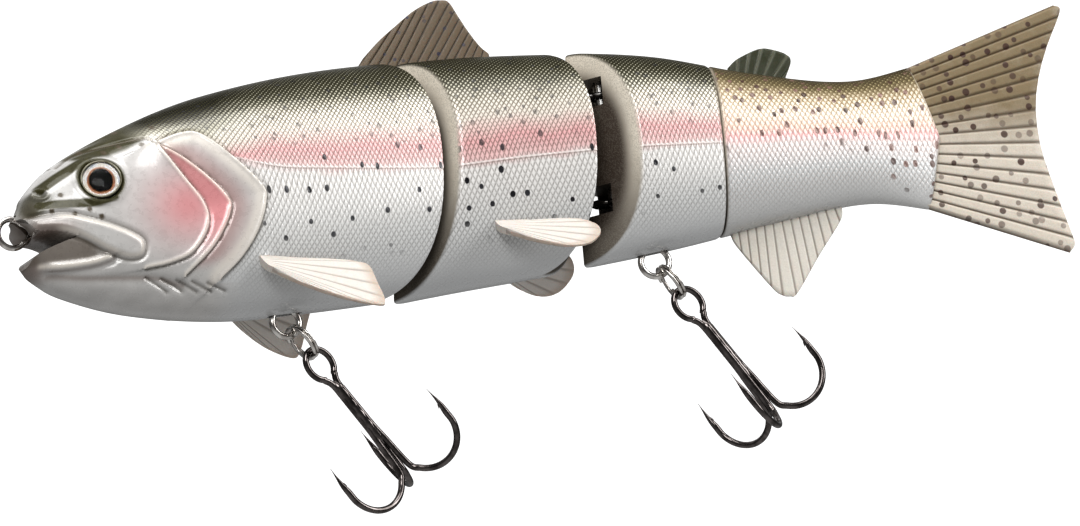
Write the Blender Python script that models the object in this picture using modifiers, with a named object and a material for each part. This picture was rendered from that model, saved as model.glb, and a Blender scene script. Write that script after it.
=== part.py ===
"""A jointed trout swimbait: three hard hollow segments, a soft tail, fins, hinges, split rings and trebles.

Stations run along X from the snout, Z is up from the hinge centres and -Y is the fish's left side.
The numbers are millimetres; MM turns them into metres. The line tie ring is at the world's origin.
"""

from math import cos, pi, radians, sin

import bmesh
import bpy
from mathutils import Matrix, Vector

MM = 0.001
GAP = 0.3  # clearance between neighbouring pieces
WALL = 2.0  # thickness of the moulded shells
RING_SIDES = 24  # points around a body section
STATION_STEP = 7.0

# Body outline: (station, height) of the back and the belly, and (station, half width)
BACK = [(1, -8.5), (4, -3.2), (11, 2.6), (29, 11), (45, 16.3), (70, 21), (98, 23), (124, 22), (148, 19.5),
        (171, 13.9), (192, 10.7), (210, 13.5)]
BELLY = [(1, -18.3), (4, -22.5), (10, -25.8), (24, -29.7), (45, -31.7), (65, -30.7), (98, -27.7), (124, -25.7),
         (148, -23), (174, -18.9), (193, -16.7), (210, -20)]
HALF_WIDTH = [(1, 4.5), (4, 6.4), (10, 8.6), (20, 10.9), (32, 12.7), (45, 13.8), (62, 14.4), (80, 14.5),
              (98, 14.2), (116, 13.7), (135, 12.6), (148, 11.2), (160, 9.6), (181, 7), (193, 5.4), (210, 2.2)]
SECTION_POWER = 2.3  # the sections are superellipses

# Joint between the head and the middle, and between the middle and the rear
FRONT_HINGE = 98.0
REAR_HINGE = 136.5
FRONT_BEND = -17.0  # degrees, tail towards the fish's left at rest
REAR_BEND = 4.5
HINGE_EYE_HEIGHT = 11.8

# Each joint face is a wedge: station of its ridge, slope of its flanks, lean of its ridge
HEAD_REAR = (83.5, 0.82, 0.09)
MIDDLE_FRONT = (89.5, 0.97, 0.12)
MIDDLE_REAR = (121.3, 0.93, 0.10)
REAR_FRONT = (129.0, 1.07, 0.05)
SEAM = 160.0
SEAM_LEAN = 0.055

PIN_RADIUS = 1.3
PIN_HALF_LENGTH = 17.0
EYE_RING_RADIUS = 2.3
EYE_WIRE_RADIUS = 0.6
EYE_SHANK_RADIUS = 0.9
EYE_SHANK_DEPTH = 8.0  # length held in the plastic

LINE_TIE = (0.0, -11.7)
LINE_TIE_RADIUS = 3.1
LINE_TIE_WIRE = 0.63
FRONT_HANGER = (59.3, -32.7)
REAR_HANGER = (143.4, -25.5)
HANGER_RADIUS = 3.1
HANGER_WIRE = 0.7
HANGER_SHANK_TOP = 11.5  # above the loop's centre

RING_OUTER = 4.4
RING_INNER = 3.2
RING_THICKNESS = 1.5
RING_DROP = 5.45  # from the hanger loop's centre to the split ring's centre
FRONT_HOOK_SWING = 35.0  # degrees, swept back from vertical at rest
REAR_HOOK_SWING = 32.0

TREBLE_EYE_DROP = 6.0  # from the split ring's centre to the hook eye's centre
TREBLE_EYE_HALF_WIDTH = 2.85
TREBLE_EYE_HALF_HEIGHT = 3.6
TREBLE_WIRE = 0.68
TREBLE_SHANK_RADIUS = 1.25
TREBLE_LENGTH = 32.3  # eye centre to the bottom of the bends
TREBLE_GAPE = 15.5
TREBLE_POINT = 17.6  # eye centre to the points, along the shank

EYE_PLACE = (16.6, -3.2)
EYE_AXIS = (-0.30, -0.92, 0.24)
EYE_RADIUS = 4.4

PEG_RADIUS = 3.5
PEG_HEIGHT = -2.5
PEG_SPAN = (152.3, 168.0)

for thing in list(bpy.data.objects):
    bpy.data.objects.remove(thing, do_unlink=True)

parts = bpy.data.collections.new("swimbait")
cutters = bpy.data.collections.new("cutters")
bpy.context.scene.collection.children.link(parts)
bpy.context.scene.collection.children.link(cutters)


def material(name, colour, roughness, metallic=0.0):
    made = bpy.data.materials.new(name)
    made.use_nodes = True
    shader = made.node_tree.nodes["Principled BSDF"]
    shader.inputs["Base Color"].default_value = (*colour, 1)
    shader.inputs["Roughness"].default_value = roughness
    shader.inputs["Metallic"].default_value = metallic
    return made


PAINT = material("painted_shell", (0.62, 0.62, 0.58), 0.3)
SOFT = material("soft_plastic", (0.62, 0.58, 0.50), 0.4)
FIN = material("fin_plastic", (0.72, 0.66, 0.60), 0.35)
OLIVE_FIN = material("olive_fin_plastic", (0.22, 0.19, 0.13), 0.4)
LENS = material("eye_lens", (0.85, 0.85, 0.82), 0.05)
IRIS = material("eye_foil", (0.55, 0.45, 0.38), 0.25, 0.6)
NICKEL = material("nickel_wire", (0.62, 0.60, 0.57), 0.2, 1.0)
BLACK_NICKEL = material("black_nickel", (0.10, 0.09, 0.09), 0.22, 1.0)
STEEL = material("stainless_pin", (0.50, 0.50, 0.50), 0.25, 1.0)
LEAD = material("ballast_lead", (0.20, 0.20, 0.22), 0.6, 0.8)


def axis_empty(name, parent, place, turn):
    """An empty on a joint's axis; place is in its parent's frame."""
    empty = bpy.data.objects.new(name, None)
    empty.parent = parent
    empty.location = Vector(place) * MM
    empty.rotation_euler = [radians(angle) for angle in turn]
    parts.objects.link(empty)
    return empty


head = axis_empty("head_frame", None, (-LINE_TIE[0], 0, -LINE_TIE[1]), (0, 0, 0))
middle = axis_empty("front_joint_axis", head, (FRONT_HINGE, 0, 0), (0, 0, FRONT_BEND))
rear = axis_empty("rear_joint_axis", middle, (REAR_HINGE - FRONT_HINGE, 0, 0), (0, 0, REAR_BEND))
front_ring = axis_empty("front_ring_axis", head, (FRONT_HANGER[0], 0, FRONT_HANGER[1]), (0, -FRONT_HOOK_SWING, 0))
rear_ring = axis_empty(
    "rear_ring_axis", rear, (REAR_HANGER[0] - REAR_HINGE, 0, REAR_HANGER[1]), (0, -REAR_HOOK_SWING, 0)
)
front_hook = axis_empty("front_hook_axis", front_ring, (0, 0, -RING_DROP), (0, 0, 0))
rear_hook = axis_empty("rear_hook_axis", rear_ring, (0, 0, -RING_DROP), (0, 0, 0))
STATION_OF = {head: 0.0, middle: FRONT_HINGE, rear: REAR_HINGE}


def attach(thing, frame):
    """Parent a piece modelled at its stations to the frame it moves with."""
    thing.parent = frame
    thing.matrix_parent_inverse = Matrix.Translation((-STATION_OF.get(frame, 0.0) * MM, 0, 0))
    return thing


def add(name, bm, look, frame, smooth=True):
    """A named piece, or with no look a hidden cutter, from a bmesh in millimetres."""
    bmesh.ops.scale(bm, vec=(MM, MM, MM), verts=bm.verts)
    bmesh.ops.recalc_face_normals(bm, faces=bm.faces)
    mesh = bpy.data.meshes.new(name)
    bm.to_mesh(mesh)
    bm.free()
    thing = bpy.data.objects.new(name, mesh)
    if look is None:
        thing.hide_render = True
        thing.display_type = "WIRE"
        cutters.objects.link(thing)
    else:
        mesh.materials.append(look)
        parts.objects.link(thing)
    if smooth:
        mesh.shade_smooth()
        mesh.set_sharp_from_angle(angle=radians(35))
    return attach(thing, frame)


def boolean(thing, operation, *tools):
    for tool in tools:
        step = thing.modifiers.new(operation.lower(), "BOOLEAN")
        step.operation = operation
        step.solver = "EXACT"
        step.object = tool
    return thing


def smooth_value(points, station):
    """Cubic curve through (station, value) points, with slopes taken from each point's neighbours."""
    if station <= points[0][0]:
        return points[0][1]
    if station >= points[-1][0]:
        return points[-1][1]
    i = max(k for k in range(len(points) - 1) if points[k][0] <= station)

    def slope(k):
        low, high = points[max(k - 1, 0)], points[min(k + 1, len(points) - 1)]
        return (high[1] - low[1]) / (high[0] - low[0])

    (x0, y0), (x1, y1) = points[i], points[i + 1]
    run = x1 - x0
    t = (station - x0) / run
    return (
        (2 * t**3 - 3 * t**2 + 1) * y0
        + (t**3 - 2 * t**2 + t) * run * slope(i)
        + (3 * t**2 - 2 * t**3) * y1
        + (t**3 - t**2) * run * slope(i + 1)
    )


def section(station, inset=0.0):
    """The body's outline at a station, as points around X."""
    top = smooth_value(BACK, station) - inset
    bottom = smooth_value(BELLY, station) + inset
    half = smooth_value(HALF_WIDTH, station) - inset
    ring = []
    for k in range(RING_SIDES):
        angle = 2 * pi * (k + 0.5) / RING_SIDES
        c, s = cos(angle), sin(angle)
        y = half * abs(c) ** (2 / SECTION_POWER) * (1 if c > 0 else -1)
        z = (top - bottom) / 2 * abs(s) ** (2 / SECTION_POWER) * (1 if s > 0 else -1)
        ring.append((station, y, (top + bottom) / 2 + z))
    return ring


def loft(start, end, inset=0.0):
    """A closed body through the sections from start to end."""
    count = max(2, round((end - start) / STATION_STEP) + 1)
    stations = [start + (end - start) * i / (count - 1) for i in range(count)]
    if start < 5:
        stations[1:1] = [start + 1.2, start + 3.2]
    bm = bmesh.new()
    rings = [[bm.verts.new(point) for point in section(station, inset)] for station in stations]
    for low, high in zip(rings, rings[1:]):
        for k in range(RING_SIDES):
            j = (k + 1) % RING_SIDES
            bm.faces.new((low[k], low[j], high[j], high[k]))
    bm.faces.new(rings[0])
    bm.faces.new(rings[-1])
    return bm


def prism(outline, low, high, lean=0.0):
    """A closed prism along Z over an outline of (x, y) points; lean moves x with z."""
    bm = bmesh.new()
    floor = [bm.verts.new((x + lean * low, y, low)) for x, y in outline]
    lid = [bm.verts.new((x + lean * high, y, high)) for x, y in outline]
    for k in range(len(outline)):
        j = (k + 1) % len(outline)
        bm.faces.new((floor[k], floor[j], lid[j], lid[k]))
    bm.faces.new(floor)
    bm.faces.new(lid)
    return bm


def wedge(name, face, frame):
    """Everything behind a wedge-shaped joint face."""
    ridge, slope, lean = face
    side = 32.0
    outline = [(ridge, 0), (ridge + slope * side, side), (260, side), (260, -side), (ridge + slope * side, -side)]
    return add(name, prism(outline, -55, 55, lean), None, frame, smooth=False)


def block(name, low, high, frame, look=None, lean=0.0):
    outline = [(low[0], low[1]), (high[0], low[1]), (high[0], high[1]), (low[0], high[1])]
    return add(name, prism(outline, low[2], high[2], lean), look, frame, smooth=False)


def rod(name, start, end, radius, look, frame, sides=16):
    """A round bar between two points."""
    start, end = Vector(start), Vector(end)
    bm = bmesh.new()
    bmesh.ops.create_cone(
        bm, cap_ends=True, segments=sides, radius1=radius, radius2=radius, depth=(end - start).length
    )
    turn = Vector((0, 0, 1)).rotation_difference(end - start).to_matrix().to_4x4()
    bmesh.ops.transform(bm, matrix=Matrix.Translation((start + end) / 2) @ turn, verts=bm.verts)
    return add(name, bm, look, frame)


def torus(name, centre, axis, radius, wire, look, frame, around=24, across=8):
    """A wire ring about an axis through its centre."""
    bm = bmesh.new()
    grid = []
    for i in range(around):
        a = 2 * pi * i / around
        loop = []
        for j in range(across):
            b = 2 * pi * (j + 0.5) / across
            reach = radius + wire * cos(b)
            loop.append(bm.verts.new((reach * cos(a), reach * sin(a), wire * sin(b))))
        grid.append(loop)
    for i in range(around):
        for j in range(across):
            following, beside = (i + 1) % around, (j + 1) % across
            bm.faces.new((grid[i][j], grid[following][j], grid[following][beside], grid[i][beside]))
    turn = Vector((0, 0, 1)).rotation_difference(Vector(axis)).to_matrix().to_4x4()
    bmesh.ops.transform(bm, matrix=Matrix.Translation(centre) @ turn, verts=bm.verts)
    return add(name, bm, look, frame)


def turned(name, profile, place, axis, look, frame):
    """A body turned about its own axis, from (radius, height) points running from top to bottom."""
    mesh = bpy.data.meshes.new(name)
    points = [(radius * MM, 0, height * MM) for radius, height in profile]
    mesh.from_pydata(points, [(k, k + 1) for k in range(len(points) - 1)], [])
    thing = bpy.data.objects.new(name, mesh)
    screw = thing.modifiers.new("turn", "SCREW")
    screw.steps = 24
    screw.render_steps = 24
    screw.use_merge_vertices = True
    screw.merge_threshold = 0.00001
    thing.location = Vector(place) * MM
    thing.rotation_mode = "QUATERNION"
    thing.rotation_quaternion = Vector((0, 0, 1)).rotation_difference(Vector(axis))
    if look is None:
        thing.hide_render = True
        thing.display_type = "WIRE"
        cutters.objects.link(thing)
    else:
        mesh.materials.append(look)
        parts.objects.link(thing)
    return attach(thing, frame)


def plate(name, outline, half_thickness, look, frame, place=(0, 0, 0), along=(1, 0, 0), across=(0, 0, 1)):
    """A flat fin: an outline of (along, across) points filled and given a thickness."""
    curve = bpy.data.curves.new(name, "CURVE")
    curve.dimensions = "2D"
    curve.fill_mode = "BOTH"
    curve.extrude = half_thickness * MM
    spline = curve.splines.new("POLY")
    spline.points.add(len(outline) - 1)
    for point, (u, v) in zip(spline.points, outline):
        point.co = (u * MM, v * MM, 0, 1)
    spline.use_cyclic_u = True
    drawn = bpy.data.objects.new(name + "_outline", curve)
    cutters.objects.link(drawn)
    bpy.context.view_layer.update()
    mesh = bpy.data.meshes.new_from_object(drawn.evaluated_get(bpy.context.evaluated_depsgraph_get()))
    bpy.data.objects.remove(drawn)
    bm = bmesh.new()
    bm.from_mesh(mesh)
    bmesh.ops.remove_doubles(bm, verts=bm.verts, dist=0.000001)
    bmesh.ops.scale(bm, vec=(1 / MM, 1 / MM, 1 / MM), verts=bm.verts)
    u_axis, v_axis = Vector(along).normalized(), Vector(across).normalized()
    turn = Matrix((u_axis, v_axis, u_axis.cross(v_axis))).transposed().to_4x4()
    bmesh.ops.transform(bm, matrix=Matrix.Translation(place) @ turn, verts=bm.verts)
    return add(name, bm, look, frame, smooth=False)


def surface_y(station, height):
    """Half width of the body at a station and height."""
    top, bottom = smooth_value(BACK, station), smooth_value(BELLY, station)
    up = min(1.0, abs(2 * height - top - bottom) / (top - bottom))
    return smooth_value(HALF_WIDTH, station) * (1 - up**SECTION_POWER) ** (1 / SECTION_POWER)


def screw_eye(name, loop, radius, wire, axis, tip, shank, look, frame):
    """A closed wire loop with a straight shank that is held in the plastic."""
    body = torus(name, loop, axis, radius, wire, look, frame)
    direction = (Vector(tip) - Vector(loop)).normalized()
    stem = rod(name + "_shank", Vector(loop) + direction * radius, tip, shank, None, frame, sides=12)
    return boolean(body, "UNION", stem)


def screw_eye_room(name, loop, radius, wire, axis, tip, shank, frame):
    """The slot that a screw eye's loop lies in and the hole for its shank."""
    loop, tip = Vector(loop), Vector(tip)
    direction = (tip - loop).normalized()
    disc = rod(
        name + "_slot",
        loop - Vector(axis) * (wire + GAP),
        loop + Vector(axis) * (wire + GAP),
        radius + wire + GAP,
        None,
        frame,
        sides=24,
    )
    hole = rod(name + "_hole", loop + direction * radius, tip + direction * GAP, shank + GAP, None, frame, sides=12)
    return disc, hole


def shell_halves(name, start, end, frame, keep, remove):
    """Left and right moulded halves of a segment, parted at its middle plane."""
    for side, sign in (("left", -1), ("right", 1)):
        half = add(f"{name}_shell_{side}", loft(start, end), PAINT, frame)
        other = block(
            f"{name}_other_side_of_{side}",
            (-20, min(sign * GAP / 2, -sign * 40), -60),
            (240, max(sign * GAP / 2, -sign * 40), 60),
            frame,
        )
        boolean(half, "INTERSECT", *keep)
        boolean(half, "DIFFERENCE", *remove, other)


def cavity(name, start, end, frame):
    return add(name, loft(start, end, inset=WALL), None, frame)


# Positions of the wire fittings in the plastic
tie_loop, tie_tip = (LINE_TIE[0], 0, LINE_TIE[1]), (15.0, 0, LINE_TIE[1])
front_loop = (FRONT_HANGER[0], 0, FRONT_HANGER[1])
front_tip = (FRONT_HANGER[0], 0, FRONT_HANGER[1] + HANGER_SHANK_TOP)
rear_loop = (REAR_HANGER[0], 0, REAR_HANGER[1])
rear_tip = (REAR_HANGER[0], 0, REAR_HANGER[1] + HANGER_SHANK_TOP)


def hinge_eyes(body_name, hinge, face, frame):
    """Two eyes fixed in the front piece of a joint, and the holes for their shanks."""
    holes = []
    for level, height in (("upper", HINGE_EYE_HEIGHT), ("lower", -HINGE_EYE_HEIGHT)):
        tip = (face[0] + face[2] * height - EYE_SHANK_DEPTH, 0, height)
        centre = (hinge, 0, height)
        name = f"{body_name}_hinge_eye_{level}"
        screw_eye(name, centre, EYE_RING_RADIUS, EYE_WIRE_RADIUS, (0, 0, 1), tip, EYE_SHANK_RADIUS, STEEL, frame)
        holes.append(
            rod(
                name + "_hole",
                (tip[0] - GAP, 0, height),
                (hinge - EYE_RING_RADIUS, 0, height),
                EYE_SHANK_RADIUS + GAP,
                None,
                frame,
                sides=12,
            )
        )
    return holes


def hinge_pin(name, hinge, frame):
    """The upright pin of a joint, with its hole and the two slots that the eyes swing in."""
    rod(name, (hinge, 0, -PIN_HALF_LENGTH), (hinge, 0, PIN_HALF_LENGTH), PIN_RADIUS, STEEL, frame)
    reach = PIN_HALF_LENGTH + GAP
    hole = rod(name + "_hole", (hinge, 0, -reach), (hinge, 0, reach), PIN_RADIUS + GAP, None, frame)
    slot_half_width, slot_half_height, slot_behind = 6.2, 3.1, 4.2
    slots = [
        block(
            f"{name}_slot_{k}",
            (hinge - 18, -slot_half_width, height - slot_half_height),
            (hinge + slot_behind, slot_half_width, height + slot_half_height),
            frame,
        )
        for k, height in enumerate((HINGE_EYE_HEIGHT, -HINGE_EYE_HEIGHT))
    ]
    return [hole, *slots]


def paired_fins(name, root, down_angle, outline, peg_place, frame):
    """Left and right fins, each a splayed plate with a round peg that enters the shell; returns the holes."""
    holes = []
    station, height, stand_off = root
    for side, sign in (("left", -1), ("right", 1)):
        y = sign * (surface_y(station + 8, height) + stand_off)
        across = (0, sign * cos(radians(down_angle)), -sin(radians(down_angle)))
        fin = plate(f"{name}_{side}", outline, 0.6, FIN, frame, (station, y, height), (1, 0, 0), across)
        u, v = peg_place
        centre = Vector((station + u, y, height)) + Vector(across) * v
        inner = Vector((centre.x, sign * (surface_y(centre.x, centre.z) - 3.2), centre.z))
        peg = rod(f"{name}_{side}_peg", centre, inner, 1.1, None, frame, sides=12)
        boolean(fin, "UNION", peg)
        deeper = inner - Vector((0, sign * GAP, 0))
        holes.append(rod(f"{name}_{side}_hole", centre, deeper, 1.1 + GAP, None, frame, sides=12))
    return holes


# Eyes: a socket, a foil iris and a clear domed lens on each side of the head
def eyes():
    sockets = []
    x, z = EYE_PLACE
    for side, sign in (("left", 1), ("right", -1)):
        axis = Vector((EYE_AXIS[0], EYE_AXIS[1] * sign, EYE_AXIS[2])).normalized()
        surface = Vector((x, -sign * surface_y(x, z), z))
        floor = surface - axis * 2.9
        r = EYE_RADIUS
        foil = [(0, 1.0), (r, 1.0), (r, 0), (0, 0)]
        turned(f"eye_iris_{side}", foil, floor + axis * GAP, axis, IRIS, head)
        dome = [(r * sin(radians(a)), 0.9 + 1.4 * cos(radians(a))) for a in range(0, 91, 15)]
        turned(f"eye_lens_{side}", dome + [(r, 0), (0, 0)], floor + axis * (1.0 + 2 * GAP), axis, LENS, head)
        sockets.append(rod(f"eye_socket_{side}", floor, surface + axis * 4, r + GAP, None, head, sides=24))
    return sockets


# Head segment
pectoral_outline = [(0, -1), (5, -0.5), (16, 0.8), (21.5, 1.8), (23.5, 3.5), (23.2, 9), (22.6, 15), (20.8, 16.4),
                    (14, 13.6), (7, 8.6), (1.2, 2.6)]
pectoral_holes = paired_fins("pectoral_fin", (49.5, -22.5, 1.2), 52, pectoral_outline, (3.4, 1.6), head)
mouth_outline = [(-8, -4.6), (-8, 1.8), (1, 0.9), (7.5, -0.4), (12, -1.4), (7, -3.0), (1, -4.1)]
mouth = plate(
    "mouth_gap", mouth_outline, 20, None, head, (0, 0, LINE_TIE[1] - 2.6), (1, 0, 0), (0, 0, 1)
)
head_cavity = cavity("head_cavity", 26, 74, head)
shell_halves(
    "head",
    1,
    104,
    head,
    [],
    [
        wedge("head_rear_face", HEAD_REAR, head),
        head_cavity,
        mouth,
        *screw_eye_room("tie_room", tie_loop, LINE_TIE_RADIUS, LINE_TIE_WIRE, (0, 1, 0), tie_tip, 1.0, head),
        *screw_eye_room("front_room", front_loop, HANGER_RADIUS, HANGER_WIRE, (0, 1, 0), front_tip, 1.0, head),
        *eyes(),
        *hinge_eyes("head", FRONT_HINGE, HEAD_REAR, head),
        *pectoral_holes,
    ],
)
screw_eye("line_tie", tie_loop, LINE_TIE_RADIUS, LINE_TIE_WIRE, (0, 1, 0), tie_tip, 1.0, NICKEL, head)
screw_eye("front_hanger", front_loop, HANGER_RADIUS, HANGER_WIRE, (0, 1, 0), front_tip, 1.0, NICKEL, head)
rod("head_ballast", (34, 0, -23.5), (52, 0, -24.5), 3.2, LEAD, head)

# Middle segment
pelvic_outline = [(0, -0.8), (6, -0.4), (14, 0.6), (18.5, 2.2), (20.8, 5.5), (20.6, 9.5), (17.5, 13.4), (13, 13.6),
                  (7.5, 9.8), (1.5, 3)]
pelvic_holes = paired_fins("pelvic_fin", (108, -17, 1.2), 39, pelvic_outline, (3.2, 1.4), middle)
dorsal_outline = [(84.6, 24.0), (86.6, 25.4), (90.4, 28.8), (94.5, 31.8), (98.8, 34.7), (102.6, 36.3), (105, 36.5),
                  (106.7, 35.8), (108.4, 32.3), (110, 29), (112, 25.6), (114, 23.4), (112.3, 23.3), (112, 18.2),
                  (95, 18.2), (94.6, 23.9)]
plate("dorsal_fin", dorsal_outline, 0.8, OLIVE_FIN, middle)
dorsal_slot = block("dorsal_slot", (94.2, -0.8 - GAP, 18.2 - GAP), (112.8, 0.8 + GAP, 40), middle)
shell_halves(
    "middle",
    84,
    140,
    middle,
    [wedge("middle_front_face", MIDDLE_FRONT, middle)],
    [
        wedge("middle_rear_face", MIDDLE_REAR, middle),
        cavity("middle_cavity", 104.4, 111.6, middle),
        dorsal_slot,
        *hinge_pin("front_hinge_pin", FRONT_HINGE, middle),
        *hinge_eyes("middle", REAR_HINGE, MIDDLE_REAR, middle),
        *pelvic_holes,
    ],
)
rod("middle_ballast", (108, -4.5, -20), (108, 4.5, -20), 2.6, LEAD, middle)

# Rear segment and its soft tail
seam_side = block("seam_side", (SEAM - GAP / 2, -40, -60), (260, 40, 60), rear, lean=SEAM_LEAN)
tail_side = block("tail_side", (SEAM + GAP / 2, -40, -60), (260, 40, 60), rear, lean=SEAM_LEAN)
peg_room = rod(
    "peg_room",
    (PEG_SPAN[0] - GAP, 0, PEG_HEIGHT),
    (PEG_SPAN[1] + GAP, 0, PEG_HEIGHT),
    PEG_RADIUS + GAP,
    None,
    rear,
    sides=20,
)
shell_halves(
    "rear",
    122,
    168,
    rear,
    [wedge("rear_front_face", REAR_FRONT, rear)],
    [
        seam_side,
        cavity("rear_cavity", 145.6, 150.8, rear),
        *hinge_pin("rear_hinge_pin", REAR_HINGE, rear),
        *screw_eye_room("rear_room", rear_loop, HANGER_RADIUS, HANGER_WIRE, (0, 1, 0), rear_tip, 1.0, rear),
        peg_room,
    ],
)
screw_eye("rear_hanger", rear_loop, HANGER_RADIUS, HANGER_WIRE, (0, 1, 0), rear_tip, 1.0, NICKEL, rear)
rod("rear_ballast", (148.2, -3.5, -15.5), (148.2, 3.5, -15.5), 2.0, LEAD, rear)
rod("tail_peg", (PEG_SPAN[0], 0, PEG_HEIGHT), (PEG_SPAN[1], 0, PEG_HEIGHT), PEG_RADIUS, STEEL, rear, sides=20)

# The soft tail is one moulding with its caudal, adipose and anal fins
caudal_outline = [(202, 8), (206, 13), (214.2, 16.4), (226.5, 21.3), (234.5, 23.8), (238.8, 24.3), (241.6, 23.6),
                  (242.2, 22), (238.2, 14.9), (235.2, 8), (233.6, 1), (233.4, -7), (234.6, -15), (237, -26),
                  (237.5, -29), (236.6, -31), (233.4, -31.5), (222.6, -27.7), (215, -24.1), (207, -19.6), (202, -14)]
adipose_outline = [(165, 12), (165.7, 15.9), (168.1, 17.7), (173, 19.5), (176, 19.2), (179.2, 17.8), (179.9, 16),
                   (177.5, 12.2), (176, 9)]
anal_outline = [(163, -16), (160.9, -21.2), (163, -25.2), (168.3, -33), (170.3, -35), (172.2, -35.5), (174, -34.8),
                (185.7, -20), (186.6, -17.6), (185, -12)]
tail = add("soft_tail", loft(154, 209), SOFT, rear)
boolean(tail, "INTERSECT", tail_side)
boolean(
    tail,
    "UNION",
    plate("caudal_fin_form", caudal_outline, 1.1, None, rear),
    plate("adipose_fin_form", adipose_outline, 1.2, None, rear),
    plate("anal_fin_form", anal_outline, 0.9, None, rear),
)
boolean(tail, "DIFFERENCE", peg_room)


def split_ring(name, frame):
    """A flat ring about X, hanging from its hanger's loop."""
    chamfer = 0.3
    half = RING_THICKNESS / 2
    profile = [
        (RING_OUTER - chamfer, half),
        (RING_OUTER, half - chamfer),
        (RING_OUTER, chamfer - half),
        (RING_OUTER - chamfer, -half),
        (RING_INNER + chamfer, -half),
        (RING_INNER, chamfer - half),
        (RING_INNER, half - chamfer),
        (RING_INNER + chamfer, half),
        (RING_OUTER - chamfer, half),
    ]
    turned(name, profile, (0, 0, -RING_DROP), (1, 0, 0), NICKEL, frame)


def prong_route():
    """(radius from the shank, distance below the eye) along one hook of a treble."""
    radius = TREBLE_GAPE / 2 - 0.45
    middle_of_bend = (TREBLE_GAPE - radius, TREBLE_LENGTH - radius)
    route = [(0.5, 14.0), (0.6, 19.5)]
    for k in range(9):
        angle = radians(205 - k * 24)
        route.append((middle_of_bend[0] + radius * cos(angle), middle_of_bend[1] - radius * sin(-angle)))
    return route


def wire_body(name, points, radii, frame, sides=8):
    """A closed wire along points in the XZ plane, with a radius at each point."""
    bm = bmesh.new()
    rings = []
    for k, point in enumerate(points):
        before, after = Vector(points[max(k - 1, 0)]), Vector(points[min(k + 1, len(points) - 1)])
        forward = (after - before).normalized()
        sideways = Vector((0, 1, 0))
        upward = forward.cross(sideways)
        ring = []
        for j in range(sides):
            a = 2 * pi * (j + 0.5) / sides
            ring.append(bm.verts.new(Vector(point) + (sideways * cos(a) + upward * sin(a)) * radii[k]))
        rings.append(ring)
    for low, high in zip(rings, rings[1:]):
        for j in range(sides):
            i = (j + 1) % sides
            bm.faces.new((low[j], low[i], high[i], high[j]))
    bm.faces.new(rings[0])
    bm.faces.new(rings[-1])
    return add(name, bm, None, frame)


def treble(name, frame, first_angle):
    """Eye, brazed shank and three prongs with tapered points; the ring's centre is the frame's origin."""
    eye_z = -TREBLE_EYE_DROP
    bm = bmesh.new()
    bmesh.ops.create_cone(
        bm, cap_ends=True, segments=12, radius1=TREBLE_SHANK_RADIUS, radius2=TREBLE_SHANK_RADIUS, depth=17.5
    )
    bmesh.ops.translate(bm, vec=(0, 0, eye_z - TREBLE_EYE_HALF_HEIGHT - 8.45), verts=bm.verts)
    body = add(name, bm, BLACK_NICKEL, frame)
    eye = torus(name + "_eye", (0, 0, 0), (0, 1, 0), 1.0, 0.2, None, frame, around=20, across=8)
    for vertex in eye.data.vertices:
        x, y, z = vertex.co / MM
        reach = (x * x + z * z) ** 0.5
        wire = (reach - 1.0) / 0.2 * TREBLE_WIRE
        vertex.co = (
            x / reach * (TREBLE_EYE_HALF_WIDTH + wire) * MM,
            y / 0.2 * TREBLE_WIRE * MM,
            (eye_z + z / reach * (TREBLE_EYE_HALF_HEIGHT + wire)) * MM,
        )
    tools = [eye]
    route = prong_route()
    last_radius, last_depth = route[-1]
    route.append((TREBLE_GAPE + 0.1, (last_depth + TREBLE_POINT) / 2 + 2.2))
    route.append((TREBLE_GAPE + 0.2, TREBLE_POINT))
    points = [(radius, 0, eye_z - depth) for radius, depth in route]
    radii = [TREBLE_WIRE] * (len(points) - 1) + [0.12]
    for k in range(3):
        prong = wire_body(f"{name}_prong_{k}", points, radii, frame)
        turn = Matrix.Rotation(radians(first_angle + 120 * k), 4, "Z")
        prong.data.transform(turn)
        tools.append(prong)
    boolean(body, "UNION", *tools)


split_ring("front_split_ring", front_ring)
split_ring("rear_split_ring", rear_ring)
treble("front_treble", front_hook, -49)
treble("rear_treble", rear_hook, 2)
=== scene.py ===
"""Looks of the jointed trout swimbait: painted skins, ribbed fins, wire fittings, eyes, light and camera.

Shapes are worked out in millimetres at the stations of the straight lure: X from the snout, Z up from the
hinge centres, -Y the fish's left side. place() then bends them to the rest pose of the body they ride on.
"""

from math import cos, pi, radians, sin

import bpy
import numpy as np
from mathutils import Matrix, Vector


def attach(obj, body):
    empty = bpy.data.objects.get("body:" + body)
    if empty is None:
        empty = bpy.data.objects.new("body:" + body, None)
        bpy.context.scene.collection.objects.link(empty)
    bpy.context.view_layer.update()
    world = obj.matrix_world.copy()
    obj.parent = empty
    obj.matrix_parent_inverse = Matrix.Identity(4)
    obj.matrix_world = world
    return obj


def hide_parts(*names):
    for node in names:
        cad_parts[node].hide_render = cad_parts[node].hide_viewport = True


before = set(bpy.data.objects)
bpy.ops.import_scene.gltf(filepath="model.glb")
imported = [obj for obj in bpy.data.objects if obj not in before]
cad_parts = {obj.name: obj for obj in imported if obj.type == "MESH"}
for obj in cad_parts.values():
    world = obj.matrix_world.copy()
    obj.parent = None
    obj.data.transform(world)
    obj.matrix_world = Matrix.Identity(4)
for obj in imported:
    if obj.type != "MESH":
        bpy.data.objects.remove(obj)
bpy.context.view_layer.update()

MM = 0.001
FINE = 0.5  # spacing of the skins' points

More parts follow.
